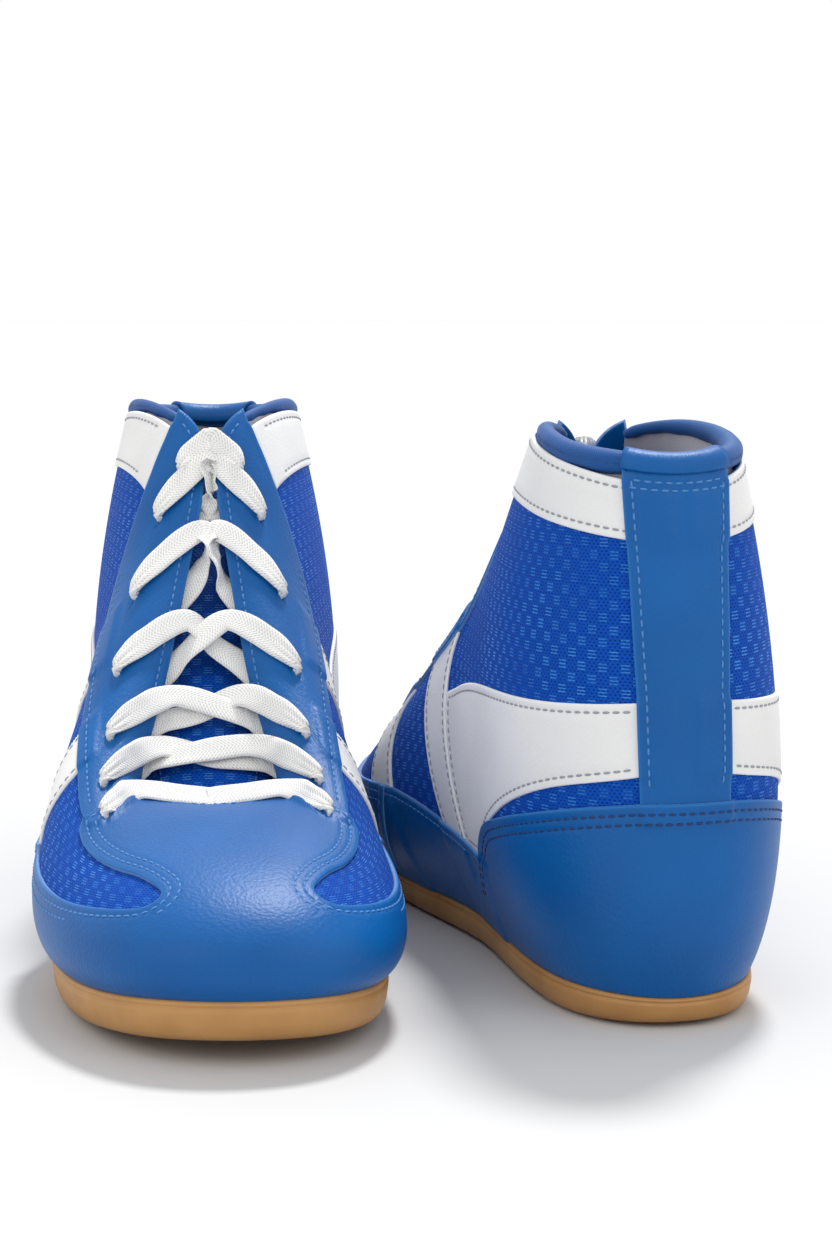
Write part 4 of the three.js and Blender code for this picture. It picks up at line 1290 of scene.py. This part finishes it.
def rubber(name, dark, light):
    s = Shader(name)
    place = s.node("ShaderNodeTexCoord").outputs["Object"]
    broad = s.noise(place, 40.0, 3.0)
    fine = s.noise(place, 1400.0, 3.0)
    colour = s.ramp(broad, [(0.3, dark), (0.7, light)])
    s.set(Base_Color=colour, Specular_IOR_Level=0.4)
    s.link(s.math("MULTIPLY_ADD", fine, 0.2, 0.42), s.base.inputs["Roughness"])
    s.bump(fine, 0.05 * MM)
    return s.made


def plain(name, dark, light, rough, scale, depth):
    s = Shader(name)
    place = s.node("ShaderNodeTexCoord").outputs["Object"]
    fine = s.noise(place, scale, 4.0)
    s.set(Base_Color=s.ramp(fine, [(0.3, dark), (0.7, light)]), Roughness=rough)
    s.bump(fine, depth * MM)
    return s.made


# The last colour of each leather is the lighter colour at its cut edges.
BLUE_LEATHER = leather("blue_leather", (0, 78, 144), (0, 89, 158), 0.42, 0.10, (36, 116, 184))
WHITE_TRIM = leather("white_synthetic", (214, 214, 214), (226, 226, 225), 0.5, 0.07, (234, 234, 234))
# The last colour of each knit is its painted glint.
BLUE_MESH = knit("blue_mesh", (0, 38, 108), (0, 73, 172), (70, 150, 232))
TONGUE_MESH = knit("tongue_mesh", (0, 38, 108), (0, 76, 176), (84, 158, 236))
LACE_COTTON = woven("lace_cotton", (196, 195, 192), (238, 237, 234), 1.15, 0.85, 0.16)
BINDING = woven("blue_binding", (0, 52, 110), (0, 80, 150), 0.8, 0.6, 0.06, 0.05)
LINING_KNIT = woven("lining_knit", (150, 149, 160), (188, 187, 196), 0.9, 0.9, 0.1, 0.3)
GUM = rubber("gum_rubber", (166, 118, 66), (186, 140, 84))
CUT_BLUE = plain("cut_edge_blue", (84, 122, 180), (120, 154, 202), 0.8, 900, 0.1)
CUT_WHITE = plain("cut_edge_white", (205, 205, 205), (232, 232, 230), 0.8, 900, 0.1)
THREAD_BLUE = plain("thread_light_blue", (44, 108, 176), (80, 136, 194), 0.6, 2500, 0.05)
THREAD_DARK = plain("thread_dark_blue", (0, 36, 84), (6, 52, 110), 0.6, 2500, 0.05)
THREAD_GREY = plain("thread_grey", (126, 128, 136), (160, 162, 170), 0.6, 2500, 0.05)
BOARD = plain("fibre_board", (160, 132, 96), (192, 162, 122), 0.9, 500, 0.1)
FILM = plain("aglet_film", (228, 228, 226), (242, 242, 240), 0.25, 700, 0.01)

LEATHER_SET = (BLUE_LEATHER, CUT_BLUE, THREAD_BLUE)
COUNTER_SET = (BLUE_LEATHER, CUT_BLUE, THREAD_DARK)
TRIM_SET = (WHITE_TRIM, CUT_WHITE, THREAD_GREY)
LINING_SET = (LINING_KNIT, LINING_KNIT, THREAD_GREY)


# ---- placing pieces ----
def place_piece(name, skin, materials, foot):
    """A Blender object made from a skin, standing where that foot's boot stands."""
    verts = np.vstack(skin.verts)
    uv = np.vstack(skin.uv)
    rim = np.concatenate(skin.rim)
    turn, shift = PLACES[foot]
    world = verts * MM @ turn.T + shift
    faces = skin.faces if foot == "right" else [f[::-1] for f in skin.faces]
    mesh = bpy.data.meshes.new(name)
    mesh.from_pydata(world.tolist(), [], faces)
    corners = np.zeros(len(mesh.loops), np.int32)
    mesh.loops.foreach_get("vertex_index", corners)
    layer = mesh.uv_layers.new(name="cloth")
    layer.data.foreach_set("uv", uv[corners].astype(np.float32).ravel())
    attribute = mesh.attributes.new("rim", "FLOAT", "POINT")
    attribute.data.foreach_set("value", rim.astype(np.float32))
    for material in materials:
        mesh.materials.append(material)
    kinds = np.minimum(skin.kinds, len(materials) - 1)
    mesh.polygons.foreach_set("material_index", kinds.astype(np.int32))
    mesh.polygons.foreach_set("use_smooth", np.ones(len(faces), bool))
    mesh.validate()
    mesh.update()
    piece = bpy.data.objects.new(name, mesh)
    bpy.context.scene.collection.objects.link(piece)
    return piece


def both_sides(name, maker, materials, slot):
    return [(f"{name}_{word}", maker, side, materials, slot)
            for word, side in (("lateral", 1), ("medial", -1))]


PIECES = [
    ("outsole", outsole, 0, (GUM,), "gum_rubber"),
    ("insole_board", lambda _: plate(5, 0.17, 1.6), 0, (BOARD,), "board"),
    ("sock_liner", lambda _: plate(5.6, 2.12, 3), 0, (LINING_KNIT,), "lining_knit"),
    *both_sides("lining", lining, LINING_SET, "lining_knit"),
    ("heel_stiffener", lambda _: stiff(across_heel(STIFFENER)), 0, (BOARD,), "board"),
    ("toe_puff", lambda _: stiff(across_toe(PUFF)), 0, (BOARD,), "board"),
    *both_sides("quarter", quarter, (BLUE_MESH,), "blue_mesh"),
    *both_sides("collar_band", collar_band, TRIM_SET, "white_synthetic"),
    *both_sides("ankle_band", ankle_band, TRIM_SET, "white_synthetic"),
    *both_sides("front_strap", lambda side: side_strap(side, FRONT_STRAP), TRIM_SET, "white_synthetic"),
    *both_sides("rear_strap", lambda side: side_strap(side, REAR_STRAP), TRIM_SET, "white_synthetic"),
    ("toe_vamp", toe_vamp, 0, LEATHER_SET, "blue_leather"),
    *both_sides("rand", rand, LEATHER_SET, "blue_leather"),
    *both_sides("facing", facing, LEATHER_SET, "blue_leather"),
    ("heel_counter", heel_counter, 0, COUNTER_SET, "blue_leather"),
    ("backstay", backstay, 0, LEATHER_SET, "blue_leather"),
    ("collar_binding", collar_binding, 0, (BINDING,), "blue_binding"),
    ("tongue", tongue, 0, (TONGUE_MESH, TONGUE_MESH, THREAD_BLUE), "blue_mesh"),
    ("lace", lace, 0, (LACE_COTTON,), "lace_cotton"),
    *both_sides("aglet", aglet, (FILM,), "aglet_plastic"),
]


for piece_name, maker, side, materials, slot in PIECES:
    skin = maker(side)
    for foot in ("right", "left"):
        node = f"{foot}_{piece_name}"
        piece = place_piece(node + "_finished", skin, materials, foot)
        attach(piece, foot + ("_tongue" if piece_name == "tongue" else "_boot"))
        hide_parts(node)


# ---- floor and light ----
FLOOR_HALF = 6.0
SUN_FROM = (0.2, 0.75, 1.4)  # above and behind the pair
SUN_STRENGTH = 2.7
SUN_ANGLE = 9
FILLS = (("fill_front_left", (-0.9, -1.2, 1.0), 2.5), ("fill_front_right", (1.0, -1.0, 0.9), 2))
FILL_SIZE = 0.8
FILL_TARGET = (0, 0, 0.08)


def make_floor():
    mesh = bpy.data.meshes.new("floor")
    size = FLOOR_HALF
    corners = [(-size, -size, 0), (size, -size, 0), (size, size, 0), (-size, size, 0)]
    mesh.from_pydata(corners, [], [(0, 1, 2, 3)])
    floor = bpy.data.objects.new("floor", mesh)
    bpy.context.scene.collection.objects.link(floor)
    s = Shader("pale_floor")
    s.set(Base_Color=(198, 198, 198), Roughness=0.8, Specular_IOR_Level=0.2)
    mesh.materials.append(s.made)


def add_light(name, kind, place, target, energy, **settings):
    data = bpy.data.lights.new(name, kind)
    data.energy = energy
    for key, value in settings.items():
        setattr(data, key, value)
    lamp = bpy.data.objects.new(name, data)
    lamp.location = place
    lamp.rotation_euler = (Vector(target) - Vector(place)).to_track_quat("-Z", "Y").to_euler()
    bpy.context.scene.collection.objects.link(lamp)


def make_light():
    """A white studio: even light from all round, a soft key from above and behind, two weak fills."""
    world = bpy.data.worlds.new("studio")
    bpy.context.scene.world = world
    world.use_nodes = True
    back = world.node_tree.nodes["Background"]
    back.inputs[0].default_value = (1, 1, 1, 1)
    back.inputs[1].default_value = 1.0
    bpy.context.scene.view_settings.view_transform = "Standard"
    add_light("key_above_behind", "SUN", SUN_FROM, (0, 0, 0), SUN_STRENGTH, angle=math.radians(SUN_ANGLE))
    for name, place, energy in FILLS:
        add_light(name, "AREA", place, FILL_TARGET, energy, shape="DISK", size=FILL_SIZE)


make_floor()
make_light()
